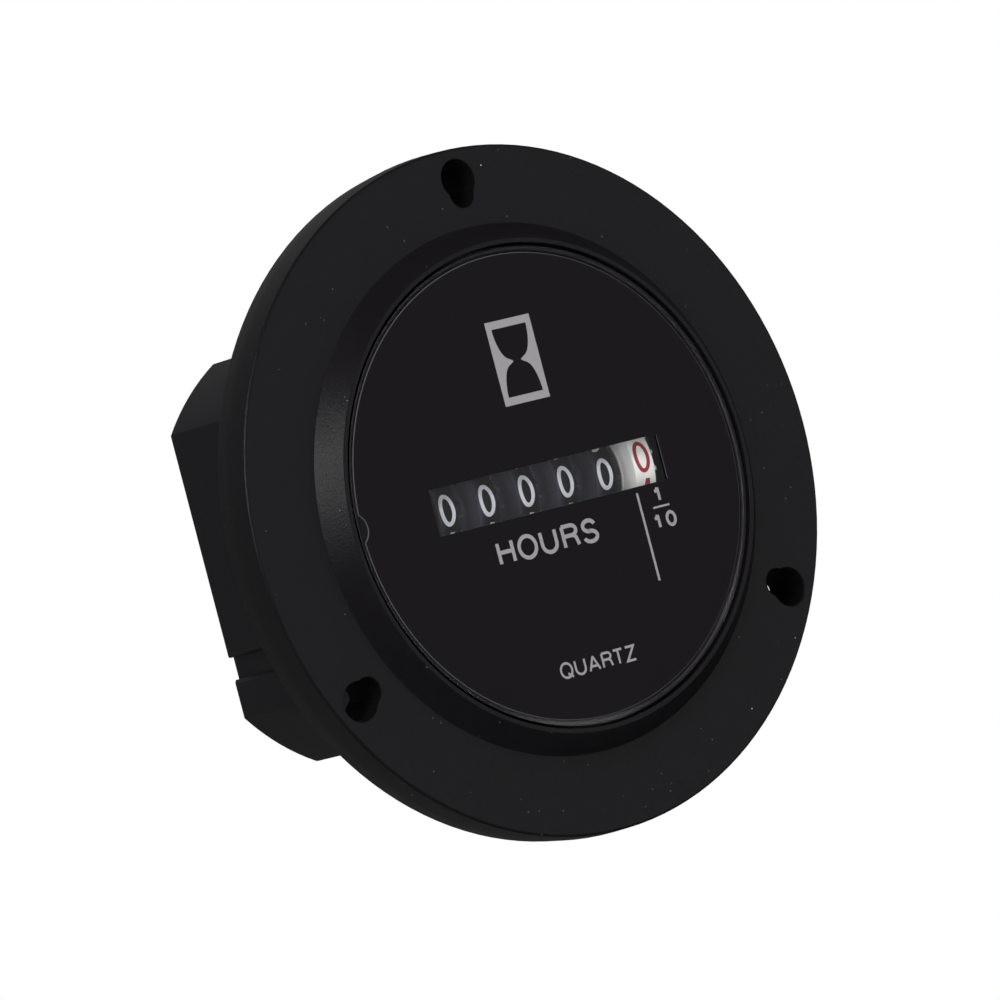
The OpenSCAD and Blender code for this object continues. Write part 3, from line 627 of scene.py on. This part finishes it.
SLOT_FINISHES: dict[str, Finish] = {
    "flange_moulding": FLANGE_BLACK,
    "case_moulding": CASE_BLACK,
    "clear_lens": LENS_CLEAR,
    "face_film": FACE_BLACK,
    "black_wheel": WHEEL_BLACK,
    "white_wheel": WHEEL_WHITE,
    "natural_plastic": Moulding("natural_acetal", srgb(228, 222, 204), 0.42, 0.5, 0.4 * MM, 0.003 * MM),
    "frame_sheet": Metal("frame_zinc", srgb(186, 189, 192), 0.36),
    "steel": Metal("shaft_steel", srgb(168, 171, 175), 0.25),
    "core_iron": Metal("core_iron", srgb(140, 142, 146), 0.45, (1.0, 1.0, 14.0)),
    "screw_steel": Metal("screw_zinc", srgb(192, 194, 196), 0.3),
    "bobbin_plastic": Moulding("bobbin_green", srgb(42, 104, 74), 0.4, 0.5, 0.3 * MM, 0.003 * MM),
    "copper_wire": Winding("coil_copper"),
    "tinned_wire": Metal("tinned_pin", srgb(200, 202, 204), 0.3),
    "brass": Metal("pillar_brass", srgb(200, 165, 92), 0.28),
    "magnet_ferrite": Moulding("magnet_ferrite", srgb(64, 64, 67), 0.6, 0.4, 0.1 * MM, 0.01 * MM),
    "board_laminate": Laminate("board_green"),
    "crystal_can": Metal("crystal_can", srgb(205, 207, 209), 0.2),
    "chip_plastic": Moulding("chip_black", srgb(32, 32, 35), 0.55, 0.4, 0.1 * MM, 0.005 * MM),
    "capacitor_sleeve": Moulding("capacitor_sleeve", srgb(48, 54, 98), 0.25, 0.5, 0.5 * MM, 0.002 * MM),
    "resistor_body": Banded("resistor_bands", srgb(200, 170, 128), srgb(90, 40, 20)),
    "diode_body": Banded("diode_band", srgb(34, 34, 37), srgb(180, 180, 178), 2.6 * MM),
    "terminal_metal": Metal("terminal_tin", srgb(202, 198, 186), 0.3, (12.0, 1.0, 12.0)),
}


def finished(
    name: str, form: bmesh.types.BMesh, finishes: Sequence[Finish], body: str
) -> bpy.types.Object:
    """Make a piece from a shaped mesh and set it on its body.

    Args:
        name: The piece's name.
        form: The shape, in the row frame; it is freed.
        finishes: What its surfaces are, by their material number.
        body: The body that it moves with.

    Returns:
        The piece.
    """
    mesh = bpy.data.meshes.new(name)
    form.to_mesh(mesh)
    form.free()
    for finish in finishes:
        mesh.materials.append(finish.material())
    piece = bpy.data.objects.new(name, mesh)
    bpy.context.scene.collection.objects.link(piece)
    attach(piece, body)
    LOG.info("%s: %d faces on %s", name, len(mesh.polygons), body)
    return piece


@dataclass(frozen=True)
class SoftEdges:
    """A moulded or cut piece whose hard edges are eased by a small radius.

    An edge finish is for the eased edges, and within the plain radius for the walls along Y instead.
    """

    node: str
    name: str
    radius: float
    body: str = "case"
    segments: int = 3
    flat_angle: float = 0.4
    edge_angle: float = 28.0
    edge_finish: Finish | None = None
    plain_r: float = 23.0 * MM
    weld: float = 0.0005 * MM
    wall_slope: float = 0.5

    def build(self, frame: dict[str, Any], finish: Finish, slot: str) -> None:
        """Merge a copy of the node's mesh, ease its edges and let it stand for the node.

        Args:
            frame: The loaded frame.
            finish: What its surface is.
            slot: The record's material slot; not used.
        """
        form = bmesh.new()
        form.from_mesh(frame["nodes"][self.node].data)
        bmesh.ops.remove_doubles(form, verts=form.verts[:], dist=self.weld)
        bmesh.ops.dissolve_limit(
            form, angle_limit=math.radians(self.flat_angle), verts=form.verts[:], edges=form.edges[:]
        )
        self.shape(form)
        limit = math.radians(self.edge_angle)
        hard = [edge for edge in form.edges if edge.is_manifold and edge.calc_face_angle() > limit]
        bmesh.ops.bevel(
            form,
            geom=hard,
            offset=self.radius,
            offset_type="OFFSET",
            affect="EDGES",
            segments=self.segments,
            profile=0.5,
            material=1 if self.edge_finish else -1,
            clamp_overlap=True,
        )
        for face in form.faces:
            face.smooth = True
            middle = face.calc_center_median()
            if self.edge_finish and math.hypot(middle.x, middle.z) < self.plain_r:
                face.material_index = int(abs(face.normal.y) < self.wall_slope)
        finishes = [finish, self.edge_finish] if self.edge_finish else [finish]
        piece = finished(self.name, form, finishes, self.body)
        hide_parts(self.node)
        even = piece.modifiers.new("even_normals", "WEIGHTED_NORMAL")
        even.weight = 100

    def shape(self, form: bmesh.types.BMesh) -> None:
        """Change the merged copy before its edges are eased."""


@dataclass(frozen=True)
class DraftedHoles(SoftEdges):
    """A flange whose mounting holes keep the mould's draft: narrower at the panel, further out in front."""

    bores: tuple[tuple[float, float], ...] = ((32.5 * MM, 1.85 * MM), (31.03 * MM, 1.3 * MM))
    narrowing: float = 0.35 * MM
    outward: float = 0.2 * MM
    front_y: float = -5.1 * MM
    slack: float = 0.04 * MM

    def shape(self, form: bmesh.types.BMesh) -> None:
        """Move the rims of the holes."""
        for angle in HOLE_ANGLES:
            turn = math.radians(angle)
            out = Vector((math.cos(turn), 0.0, math.sin(turn)))
            for vert in form.verts:
                self._move(vert, out)

    def _move(self, vert: bmesh.types.BMVert, out: Vector) -> None:
        """Move one point if it lies on a rim of the hole in a direction."""
        at_back = abs(vert.co.y) < self.slack
        at_front = abs(vert.co.y - self.front_y) < self.slack
        for reach, radius in self.bores:
            off = vert.co - out * reach
            off.y = 0.0
            if at_back and off.length < radius + self.slack:
                vert.co -= off.normalized() * self.narrowing
                return
            if at_front and off.length < radius + self.outward + self.slack:
                vert.co += out * self.outward
                return


@dataclass(frozen=True)
class Arc:
    """A round stretch of a pen stroke, in the letter's own box of one by one."""

    middle: Point
    reach: Point
    start: float
    end: float

    def points(self, step: float = 9.0) -> list[Point]:
        """Points along the arc.

        Args:
            step: Degrees from one point to the next.

        Returns:
            The points from start to end.
        """
        count = max(2, round(abs(self.end - self.start) / step))
        turns = [math.radians(self.start + (self.end - self.start) * i / count) for i in range(count + 1)]
        (x, y), (rx, ry) = self.middle, self.reach
        return [(x + rx * math.cos(turn), y + ry * math.sin(turn)) for turn in turns]


Stroke = Sequence["Point | Arc"]

GLYPHS: dict[str, tuple[Stroke, ...]] = {
    "0": ((Arc((0.5, 0.5), (0.5, 0.5), 0, 360),),),
    "1": (((0.9, 0.0), (0.9, 1.0)), ((0.0, 0.72), (0.42, 0.76), (0.8, 1.0))),
    "2": ((Arc((0.5, 0.72), (0.5, 0.28), 165, -35), (0.0, 0.0), (1.0, 0.0)),),
    "3": ((Arc((0.48, 0.75), (0.44, 0.25), 155, -90),), (Arc((0.48, 0.25), (0.52, 0.25), 90, -155),)),
    "4": (((0.78, 0.0), (0.78, 1.0)), ((0.78, 1.0), (0.0, 0.28), (1.0, 0.28))),
    "5": (((0.92, 1.0), (0.16, 1.0), (0.08, 0.5), Arc((0.48, 0.31), (0.52, 0.31), 132, -150)),),
    "6": ((Arc((0.5, 0.31), (0.5, 0.31), 0, 360),), (Arc((0.62, 0.42), (0.62, 0.58), 70, 190),)),
    "7": (((0.0, 1.0), (1.0, 1.0), (0.34, 0.0)),),
    "8": ((Arc((0.5, 0.75), (0.42, 0.25), 0, 360),), (Arc((0.5, 0.25), (0.5, 0.25), 0, 360),)),
    "9": ((Arc((0.5, 0.69), (0.5, 0.31), 0, 360),), (Arc((0.38, 0.58), (0.62, 0.58), 10, -110),)),
    "A": (((0.0, 0.0), (0.5, 1.0)), ((0.5, 1.0), (1.0, 0.0)), ((0.2, 0.3), (0.8, 0.3))),
    "H": (((0.0, 0.0), (0.0, 1.0)), ((1.0, 0.0), (1.0, 1.0)), ((0.0, 0.53), (1.0, 0.53))),
    "O": ((Arc((0.5, 0.5), (0.5, 0.52), 0, 360),),),
    "Q": ((Arc((0.5, 0.5), (0.5, 0.52), 0, 360),), ((0.58, 0.26), (1.0, -0.04))),
    "R": (
        ((0.0, 0.0), (0.0, 1.0)),
        ((0.0, 1.0), (0.6, 1.0), Arc((0.6, 0.76), (0.36, 0.24), 90, -90), (0.0, 0.52)),
        ((0.55, 0.52), Arc((0.55, 0.3), (0.34, 0.22), 90, 0), (0.98, 0.0)),
    ),
    "S": ((Arc((0.5, 0.75), (0.45, 0.26), 12, 270), Arc((0.5, 0.245), (0.5, 0.255), 90, -168)),),
    "T": (((0.0, 1.0), (1.0, 1.0)), ((0.5, 1.0), (0.5, 0.0))),
    "U": (((0.0, 1.0), Arc((0.5, 0.38), (0.5, 0.4), 180, 360), (1.0, 1.0)),),
    "Z": (((0.0, 1.0), (1.0, 1.0), (0.0, 0.0), (1.0, 0.0)),),
}


@dataclass(frozen=True)
class Letter:
    """One letter or digit drawn with a pen of even width inside its box."""

    sign: str
    left: float
    low: float
    width: float
    height: float
    pen: float

    def draw(self, form: bmesh.types.BMesh) -> None:
        """Draw the letter's strokes into a mesh, flat in X and Z, each a little in front of the last."""
        for count, stroke in enumerate(GLYPHS[self.sign]):
            self._sweep(form, self._line(stroke), -count * STROKE_LIFT)

    def _line(self, stroke: Stroke) -> list[Vector]:
        """The stroke's middle line in the dial's plane."""
        corners: list[Point] = []
        for part in stroke:
            corners.extend(part.points() if isinstance(part, Arc) else [part])
        start = Vector((self.left + self.pen / 2, self.low + self.pen / 2))
        inner_w, inner_h = self.width - self.pen, self.height - self.pen
        reach = [start + Vector((u * inner_w, v * inner_h)) for u, v in corners]
        line = [reach[0]]
        for point in reach[1:]:
            gap = (point - line[-1]).length
            for i in range(1, pieces := max(1, round(gap / LINE_STEP))):
                line.append(line[-1].lerp(point, 1.0 / (pieces - i + 1)))
            line.append(point)
        return [p for i, p in enumerate(line) if i == 0 or (p - line[i - 1]).length > SAME_POINT]

    def _sweep(self, form: bmesh.types.BMesh, line: list[Vector], level: float) -> None:
        """Extrude the pen's edge along a line at a level in Y."""
        closed = (line[0] - line[-1]).length < CLOSED_GAP
        nib: list[bmesh.types.BMVert] = []
        edge = None
        for i, point in enumerate(line):
            before = line[i - 1] if i else line[-2] if closed else None
            after = line[i + 1] if i + 1 < len(line) else line[1] if closed else None
            side = self._side(before, point, after)
            ends = [point + side, point - side]
            if edge is None:
                nib = [form.verts.new((end.x, level, end.y)) for end in ends]
                edge = form.edges.new(nib)
                continue
            grown = bmesh.ops.extrude_edge_only(form, edges=[edge])["geom"]
            edge = next(item for item in grown if isinstance(item, bmesh.types.BMEdge))
            fresh = [item for item in grown if isinstance(item, bmesh.types.BMVert)]
            nib = [min(fresh, key=lambda vert, old=old: (vert.co - old.co).length) for old in nib]
            for vert, end in zip(nib, ends):
                vert.co = (end.x, level, end.y)

    def _side(self, before: Vector | None, point: Vector, after: Vector | None) -> Vector:
        """Half the pen's width across the stroke, lengthened at a corner."""
        way_in = (point - before).normalized() if before is not None else None
        way_out = (after - point).normalized() if after is not None else None
        first, second = way_in or way_out, way_out or way_in
        along = (first + second).normalized()
        across = Vector((-along.y, along.x))
        stretch = max(SHARPEST_MITRE, across.dot(Vector((-first.y, first.x))))
        return across * (self.pen / 2 / stretch)


@dataclass(frozen=True)
class Word:
    """A printed word, with the left edge and width of each sign in millimetres."""

    text: str
    lefts: tuple[float, ...]
    widths: tuple[float, ...]
    low: float
    height: float
    pen: float

    def draw(self, form: bmesh.types.BMesh) -> None:
        """Draw the word's signs into a mesh, flat in X and Z."""
        for sign, left, width in zip(self.text, self.lefts, self.widths):
            Letter(sign, left * MM, self.low, width * MM, self.height, self.pen).draw(form)


def thicken(form: bmesh.types.BMesh, thickness: float) -> None:
    """Give a flat drawing a thickness towards the viewer, as a closed shell.

    Args:
        form: A drawing in X and Z with Y at nought.
        thickness: How far it stands out along -Y.
    """
    bmesh.ops.remove_doubles(form, verts=form.verts[:], dist=CLOSED_GAP)
    raised = bmesh.ops.extrude_face_region(form, geom=form.faces[:])["geom"]
    verts = [item for item in raised if isinstance(item, bmesh.types.BMVert)]
    bmesh.ops.translate(form, verts=verts, vec=(0.0, -thickness, 0.0))
    bmesh.ops.recalc_face_normals(form, faces=form.faces[:])


@dataclass(frozen=True)
class DialPrint:
    """The print on the face film: hourglass, words and the mark of the tenths."""

    ink: float = 0.012 * MM
    hours: Word = Word(
        "HOURS",
        (-8.62, -5.99, -3.05, -0.24, 2.38),
        (2.2, 2.57, 2.27, 2.25, 2.1),
        -6.8 * MM,
        2.55 * MM,
        0.42 * MM,
    )
    quartz: Word = Word(
        "QUARTZ",
        (-4.75, -2.83, -1.1, 0.71, 2.25, 3.84),
        (1.67, 1.48, 1.56, 1.42, 1.38, 1.33),
        -19.52 * MM,
        1.68 * MM,
        0.25 * MM,
    )
    tenth: tuple[Word, ...] = (
        Word("1", (12.6,), (0.85,), -4.4 * MM, 1.66 * MM, 0.34 * MM),
        Word("1", (11.78,), (0.85,), -7.14 * MM, 1.64 * MM, 0.34 * MM),
        Word("0", (13.34,), (1.38,), -7.17 * MM, 1.68 * MM, 0.34 * MM),
    )
    tenth_bar: tuple[float, float, float, float] = (12.1 * MM, 14.25 * MM, -4.99 * MM, -4.78 * MM)
    glass_half_w: float = 2.9 * MM
    glass_low: float = 8.79 * MM
    glass_high: float = 17.56 * MM
    glass_bar: float = 0.82 * MM
    glass_steps: int = 48
    bulb_half_w: float = 2.22 * MM
    neck_half_w: float = 0.48 * MM
    neck_ease: float = 0.1
    rule_x: float = 10.53 * MM
    rule_w: float = 0.28 * MM
    rule_high: float = -3.0 * MM
    rule_low: float = -12.25 * MM

    def build(self, face_y: float) -> None:
        """Print the face.

        Args:
            face_y: Where the front of the film lies.
        """
        jobs = {
            "print_hourglass": self._hourglass,
            "print_hours": self.hours.draw,
            "print_tenths": self._tenths,
            "print_quartz": self.quartz.draw,
        }
        for name, draw in jobs.items():
            form = bmesh.new()
            draw(form)
            thicken(form, self.ink)
            bmesh.ops.translate(form, verts=form.verts[:], vec=(0.0, face_y, 0.0))
            finished(name, form, [FACE_PRINT], "case")

    def _tenths(self, form: bmesh.types.BMesh) -> None:
        """Draw the long rule, and one over ten beside it."""
        half = self.rule_w / 2
        self._bar(form, self.rule_x - half, self.rule_x + half, self.rule_low, self.rule_high)
        self._bar(form, *self.tenth_bar)
        for sign in self.tenth:
            sign.draw(form)

    @staticmethod
    def _bar(form: bmesh.types.BMesh, left: float, right: float, low: float, high: float) -> None:
        """Draw a plain bar."""
        place = Matrix.Translation(((left + right) / 2, 0.0, (low + high) / 2))
        scale = Matrix.Diagonal((right - left, 1.0, high - low, 1.0))
        turn = Matrix.Rotation(QUARTER_TURN, 4, "X")
        bmesh.ops.create_grid(form, x_segments=1, y_segments=1, size=0.5, matrix=place @ scale @ turn)

    def _hourglass(self, form: bmesh.types.BMesh) -> None:
        """Draw the frame with the hourglass left out of it."""
        half = self.glass_half_w
        low, high = self.glass_low + self.glass_bar, self.glass_high - self.glass_bar
        self._bar(form, -half, half, high, self.glass_high)
        self._bar(form, -half, half, self.glass_low, low)
        steps = self.glass_steps
        for side in (-1.0, 1.0):
            edge = None
            for i in range(steps + 1):
                z = low + (high - low) * i / steps
                ends = [Vector((side * x, 0.0, z)) for x in (self._bulb(2.0 * i / steps - 1.0), half)]
                if edge is None:
                    edge = form.edges.new([form.verts.new(end) for end in ends])
                    continue
                grown = bmesh.ops.extrude_edge_only(form, edges=[edge])["geom"]
                edge = next(item for item in grown if isinstance(item, bmesh.types.BMEdge))
                for vert, end in zip(sorted(edge.verts, key=lambda vert: abs(vert.co.x)), ends):
                    vert.co = end

    def _bulb(self, height: float) -> float:
        """Half width of the hourglass at a height of -1 to 1 from its neck."""
        rise = abs(height)
        eased = rise * (1.0 - math.exp(-((rise / self.neck_ease) ** 2)))
        return self.neck_half_w + (self.bulb_half_w - self.neck_half_w) * math.sqrt(1.0 - (1.0 - eased) ** 2)


class Decade(Enum):
    """The number wheels from left to right, with how far each stands from its digit's middle, in degrees."""

    TEN_THOUSANDS = ("ten_thousands", 0.6)
    THOUSANDS = ("thousands", 0.5)
    HUNDREDS = ("hundreds", 0.3)
    TENS = ("tens", -0.1)
    UNITS = ("units", -2.2)
    TENTHS = ("tenths", 4.9)

    @property
    def node(self) -> str:
        """The wheel's node."""
        return "wheel_" + self.value[0]

    @property
    def body(self) -> str:
        """The wheel's body."""
        return self.value[0] + "_wheel"


@dataclass(frozen=True)
class NumberWheels:
    """Digits printed round the six wheels."""

    digit_h: float = 3.34 * MM
    digit_w: float = 1.92 * MM
    one_h: float = 4.1 * MM
    one_w: float = 1.152 * MM
    pen: float = 0.43 * MM
    ink: float = 0.02 * MM
    rim_w: float = 2.6 * MM
    ring_w: float = 1.12 * MM
    step: float = 36.0

    def build(self) -> None:
        """Print every wheel."""
        for decade in Decade:
            low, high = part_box(decade.node)
            radius = (high.z - low.z) / 2
            middle = (low + high) / 2
            middle.x = low.x + self.ring_w + self.rim_w / 2
            form = bmesh.new()
            for digit in range(10):
                self._digit(form, str(digit), middle, radius, decade.value[1] - digit * self.step)
            bmesh.ops.recalc_face_normals(form, faces=form.faces[:])
            red = decade is Decade.TENTHS
            finish = DIGIT_RED if red else DIGIT_WHITE
            finished("digits_" + decade.value[0], form, [finish], decade.body)

    def _digit(self, form: bmesh.types.BMesh, sign: str, middle: Vector, radius: float, angle: float) -> None:
        """Draw one digit and bend it round the rim.

        Args:
            form: The mesh that holds the wheel's digits.
            sign: The digit.
            middle: The middle of the rim.
            radius: The rim's radius.
            angle: Degrees above the front of the wheel.
        """
        width, height = (self.one_w, self.one_h) if sign == "1" else (self.digit_w, self.digit_h)
        flat = bmesh.new()
        Letter(sign, -width / 2, -height / 2, width, height, self.pen).draw(flat)
        thicken(flat, self.ink)
        for vert in flat.verts:
            turn = math.radians(angle) + vert.co.z / radius
            reach = radius - vert.co.y
            vert.co = middle + Vector((vert.co.x, -reach * math.cos(turn), reach * math.sin(turn)))
        bent = bpy.data.meshes.new("bent_digit")
        flat.to_mesh(bent)
        flat.free()
        form.from_mesh(bent)
        bpy.data.meshes.remove(bent)


@dataclass(frozen=True)
class Works:
    """The pieces inside the case, which keep their own solids."""

    def dress(self, frame: dict[str, Any]) -> None:
        """Give every node the finish of its slot.

        Args:
            frame: The loaded frame.
        """
        for subpart in frame["record"]["subparts"]:
            mesh = frame["nodes"][subpart["node"]].data
            mesh.materials.clear()
            mesh.materials.append(SLOT_FINISHES[subpart["material_slot"]].material())
            LOG.info("%s: dressed as %s", subpart["node"], subpart["material_slot"])


@dataclass(frozen=True)
class RimPaint:
    """Black paint that shows through the lens's rim, which slopes down to the film."""

    inner_r: float = 24.28 * MM
    outer_r: float = 24.77 * MM
    front_y: float = -7.31 * MM
    back_y: float = -7.02 * MM
    coat: float = 0.02 * MM
    segments: int = 180

    def build(self) -> None:
        """Lay the coat just under the slope."""
        form = bmesh.new()
        middle = Matrix.Translation((0.0, (self.front_y + self.back_y) / 2, 0.0))
        bmesh.ops.create_cone(
            form,
            segments=self.segments,
            radius1=self.inner_r,
            radius2=self.outer_r,
            depth=self.back_y - self.front_y,
            matrix=middle @ Matrix.Rotation(QUARTER_TURN, 4, "X"),
        )
        bmesh.ops.solidify(form, geom=form.faces[:], thickness=self.coat)
        bmesh.ops.recalc_face_normals(form, faces=form.faces[:])
        for face in form.faces:
            face.smooth = True
        finished("rim_paint", form, [RIM_BLACK], "case")


@dataclass(frozen=True)
class Mouldings:
    """The outer pieces, with their edges eased."""

    flange_edge: float = 0.07 * MM
    case_edge: float = 0.12 * MM
    film_edge: float = 0.1 * MM
    blade_edge: float = 0.1 * MM

    def build(self, frame: dict[str, Any]) -> None:
        """Make the eased pieces.

        Args:
            frame: The loaded frame.
        """
        pieces = {
            "flange_moulding": DraftedHoles("flange_bezel", "flange_moulding", self.flange_edge),
            "case_moulding": SoftEdges("housing", "case_moulding", self.case_edge),
            "face_film": SoftEdges("face_overlay", "face_film", self.film_edge, edge_finish=FILM_CUT),
        }
        for slot, piece in pieces.items():
            piece.build(frame, SLOT_FINISHES[slot], slot)
        for side in ("positive", "negative"):
            blade = SoftEdges("terminal_" + side, "blade_" + side, self.blade_edge)
            blade.build(frame, SLOT_FINISHES["terminal_metal"], "terminal_metal")


@dataclass(frozen=True)
class Lamp:
    """A soft rectangular lamp that faces the object."""

    name: str
    azimuth: float
    elevation: float
    distance: float
    size: tuple[float, float]
    level: float
    mirrored: bool

    def build(self) -> None:
        """Hang the lamp; level is how bright a white card facing it comes out."""
        way = direction(self.azimuth, self.elevation)
        light = bpy.data.lights.new(self.name, "AREA")
        light.shape = "RECTANGLE"
        light.size, light.size_y = self.size
        light.energy = self.level * (math.pi * self.distance) ** 2
        lamp = bpy.data.objects.new(self.name, light)
        lamp.location = way * self.distance
        lamp.rotation_euler = way.to_track_quat("Z", "Y").to_euler()
        lamp.visible_glossy = self.mirrored
        lamp.visible_camera = False
        bpy.context.scene.collection.objects.link(lamp)


@dataclass(frozen=True)
class Glow:
    """A soft patch of the room's light round an axis, between two cosines."""

    axis: tuple[float, float, float]
    start: float
    end: float
    level: float

    def light(self, graph: Graph, way: bpy.types.NodeSocket) -> Shade:
        """How much light comes from a way."""
        points = {0: way, 1: self.axis}
        cosine = graph.shade("ShaderNodeVectorMath", {"operation": "DOT_PRODUCT"}, points, "Value")
        return self.level * graph.eased(cosine, self.start, self.end)


@dataclass(frozen=True)
class Studio:
    """White sweep, soft lamps, pale floor and camera."""

    floor_z: float = -0.12
    floor_r: float = 0.55
    floor_fade_r: float = 0.2
    floor_least_white: float = 0.55
    room_level: float = 0.036
    camera_target: tuple[float, float, float] = (-3.34 * MM, -2.65 * MM, -0.16 * MM)
    camera_distance: float = 0.7758
    camera_azimuth: float = -36.506
    camera_elevation: float = -0.764
    camera_roll: float = 14.684
    camera_lens: float = 273.6
    lamps: tuple[Lamp, ...] = (
        Lamp("key", -20.0, 50.0, 0.9, (0.5, 0.5), 0.95, False),
        Lamp("fill", -45.0, -4.0, 0.9, (0.6, 0.6), 0.72, False),
        Lamp("rim_box", 64.0, 38.0, 0.6, (0.3, 0.2), 0.2, False),
        Lamp("left_box", -65.0, 24.0, 0.6, (0.14, 0.34), 0.13, True),
    )
    glows: tuple[Glow, ...] = (
        Glow((-0.3, 0.954, 0.0), 0.3, 0.9, 0.07),
        Glow((0.35, 0.75, 0.56), 0.8, 1.0, 0.08),
        Glow((0.6, -0.8, 0.0), 0.75, 1.0, 0.21),
    )

    def build(self) -> None:
        """Set the stage."""
        bpy.context.scene.view_settings.view_transform = "Standard"
        self._world()
        self._floor()
        self._camera()
        for lamp in self.lamps:
            lamp.build()

    def _world(self) -> None:
        """A dim room that glows behind, above and in front, and is plain white to the camera."""
        world = bpy.data.worlds.new("sweep")
        world.use_nodes = True
        bpy.context.scene.world = world
        graph = Graph(world.node_tree)
        way = graph.node("ShaderNodeTexCoord").outputs["Generated"]
        light: Any = self.room_level
        for glow in self.glows:
            light = light + glow.light(graph, way)
        room = graph.node("ShaderNodeBackground", None, {"Color": (1.0, 1.0, 1.0, 1.0), "Strength": light})
        white = graph.node("ShaderNodeBackground", None, {"Color": (1.0, 1.0, 1.0, 1.0), "Strength": 1.0})
        seen = graph.node("ShaderNodeLightPath").outputs["Is Camera Ray"]
        mixed = graph.node("ShaderNodeMixShader", None, {0: seen, 1: room.outputs[0], 2: white.outputs[0]})
        graph.show(mixed.outputs[0], "ShaderNodeOutputWorld")

    def _floor(self) -> None:
        """A pale round floor that fades into the white."""
        form = bmesh.new()
        bmesh.ops.create_circle(form, cap_ends=True, segments=96, radius=self.floor_r)
        bmesh.ops.translate(form, verts=form.verts[:], vec=(0.0, 0.0, self.floor_z))
        mesh = bpy.data.meshes.new("floor")
        form.to_mesh(mesh)
        form.free()
        material = bpy.data.materials.new("floor_paper")
        material.use_nodes = True
        graph = Graph(material.node_tree)
        paper = graph.node("ShaderNodeBsdfDiffuse", None, {"Color": (0.9, 0.9, 0.9, 1.0)})
        white = graph.node("ShaderNodeEmission", None, {"Color": (1.0, 1.0, 1.0, 1.0), "Strength": 1.0})
        seen = Shade(graph, graph.node("ShaderNodeLightPath").outputs["Is Camera Ray"])
        distance = graph.shade("ShaderNodeVectorMath", {"operation": "LENGTH"}, {0: graph.place()}, "Value")
        least = self.floor_least_white
        fade = least + (1.0 - least) * graph.eased(distance, self.floor_fade_r, self.floor_r)
        mixed = graph.node(
            "ShaderNodeMixShader", None, {0: seen * fade, 1: paper.outputs[0], 2: white.outputs[0]}
        )
        graph.show(mixed.outputs[0])
        mesh.materials.append(material)
        floor = bpy.data.objects.new("floor", mesh)
        floor.visible_glossy = False
        bpy.context.scene.collection.objects.link(floor)

    def _camera(self) -> None:
        """Stand the camera at the viewing angle."""
        turn, roll = math.radians(self.camera_azimuth), math.radians(self.camera_roll)
        back = direction(self.camera_azimuth, self.camera_elevation)
        right = Vector((math.cos(turn), math.sin(turn), 0.0))
        level_up = back.cross(right)
        up = level_up * math.cos(roll) + right * math.sin(roll)
        aside = up.cross(back)
        camera = bpy.data.cameras.new("camera")
        camera.lens = self.camera_lens
        camera.clip_start = 0.01
        stand = bpy.data.objects.new("camera", camera)
        place = Vector(self.camera_target) + back * self.camera_distance
        stand.matrix_world = Matrix.Translation(place) @ Matrix((aside, up, back)).transposed().to_4x4()
        bpy.context.scene.collection.objects.link(stand)
        bpy.context.scene.camera = stand


def clear_scene() -> None:
    """Remove what a new file holds."""
    for item in list(bpy.data.objects):
        bpy.data.objects.remove(item)


def main() -> None:
    """Load the frame, dress it and set the stage."""
    logging.basicConfig(level=logging.INFO, format="%(name)s %(message)s")
    clear_scene()
    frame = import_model()
    Works().dress(frame)
    Mouldings().build(frame)
    RimPaint().build()
    DialPrint().build(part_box("face_overlay")[0].y)
    NumberWheels().build()
    Studio().build()


if __name__ == "__main__":
    main()
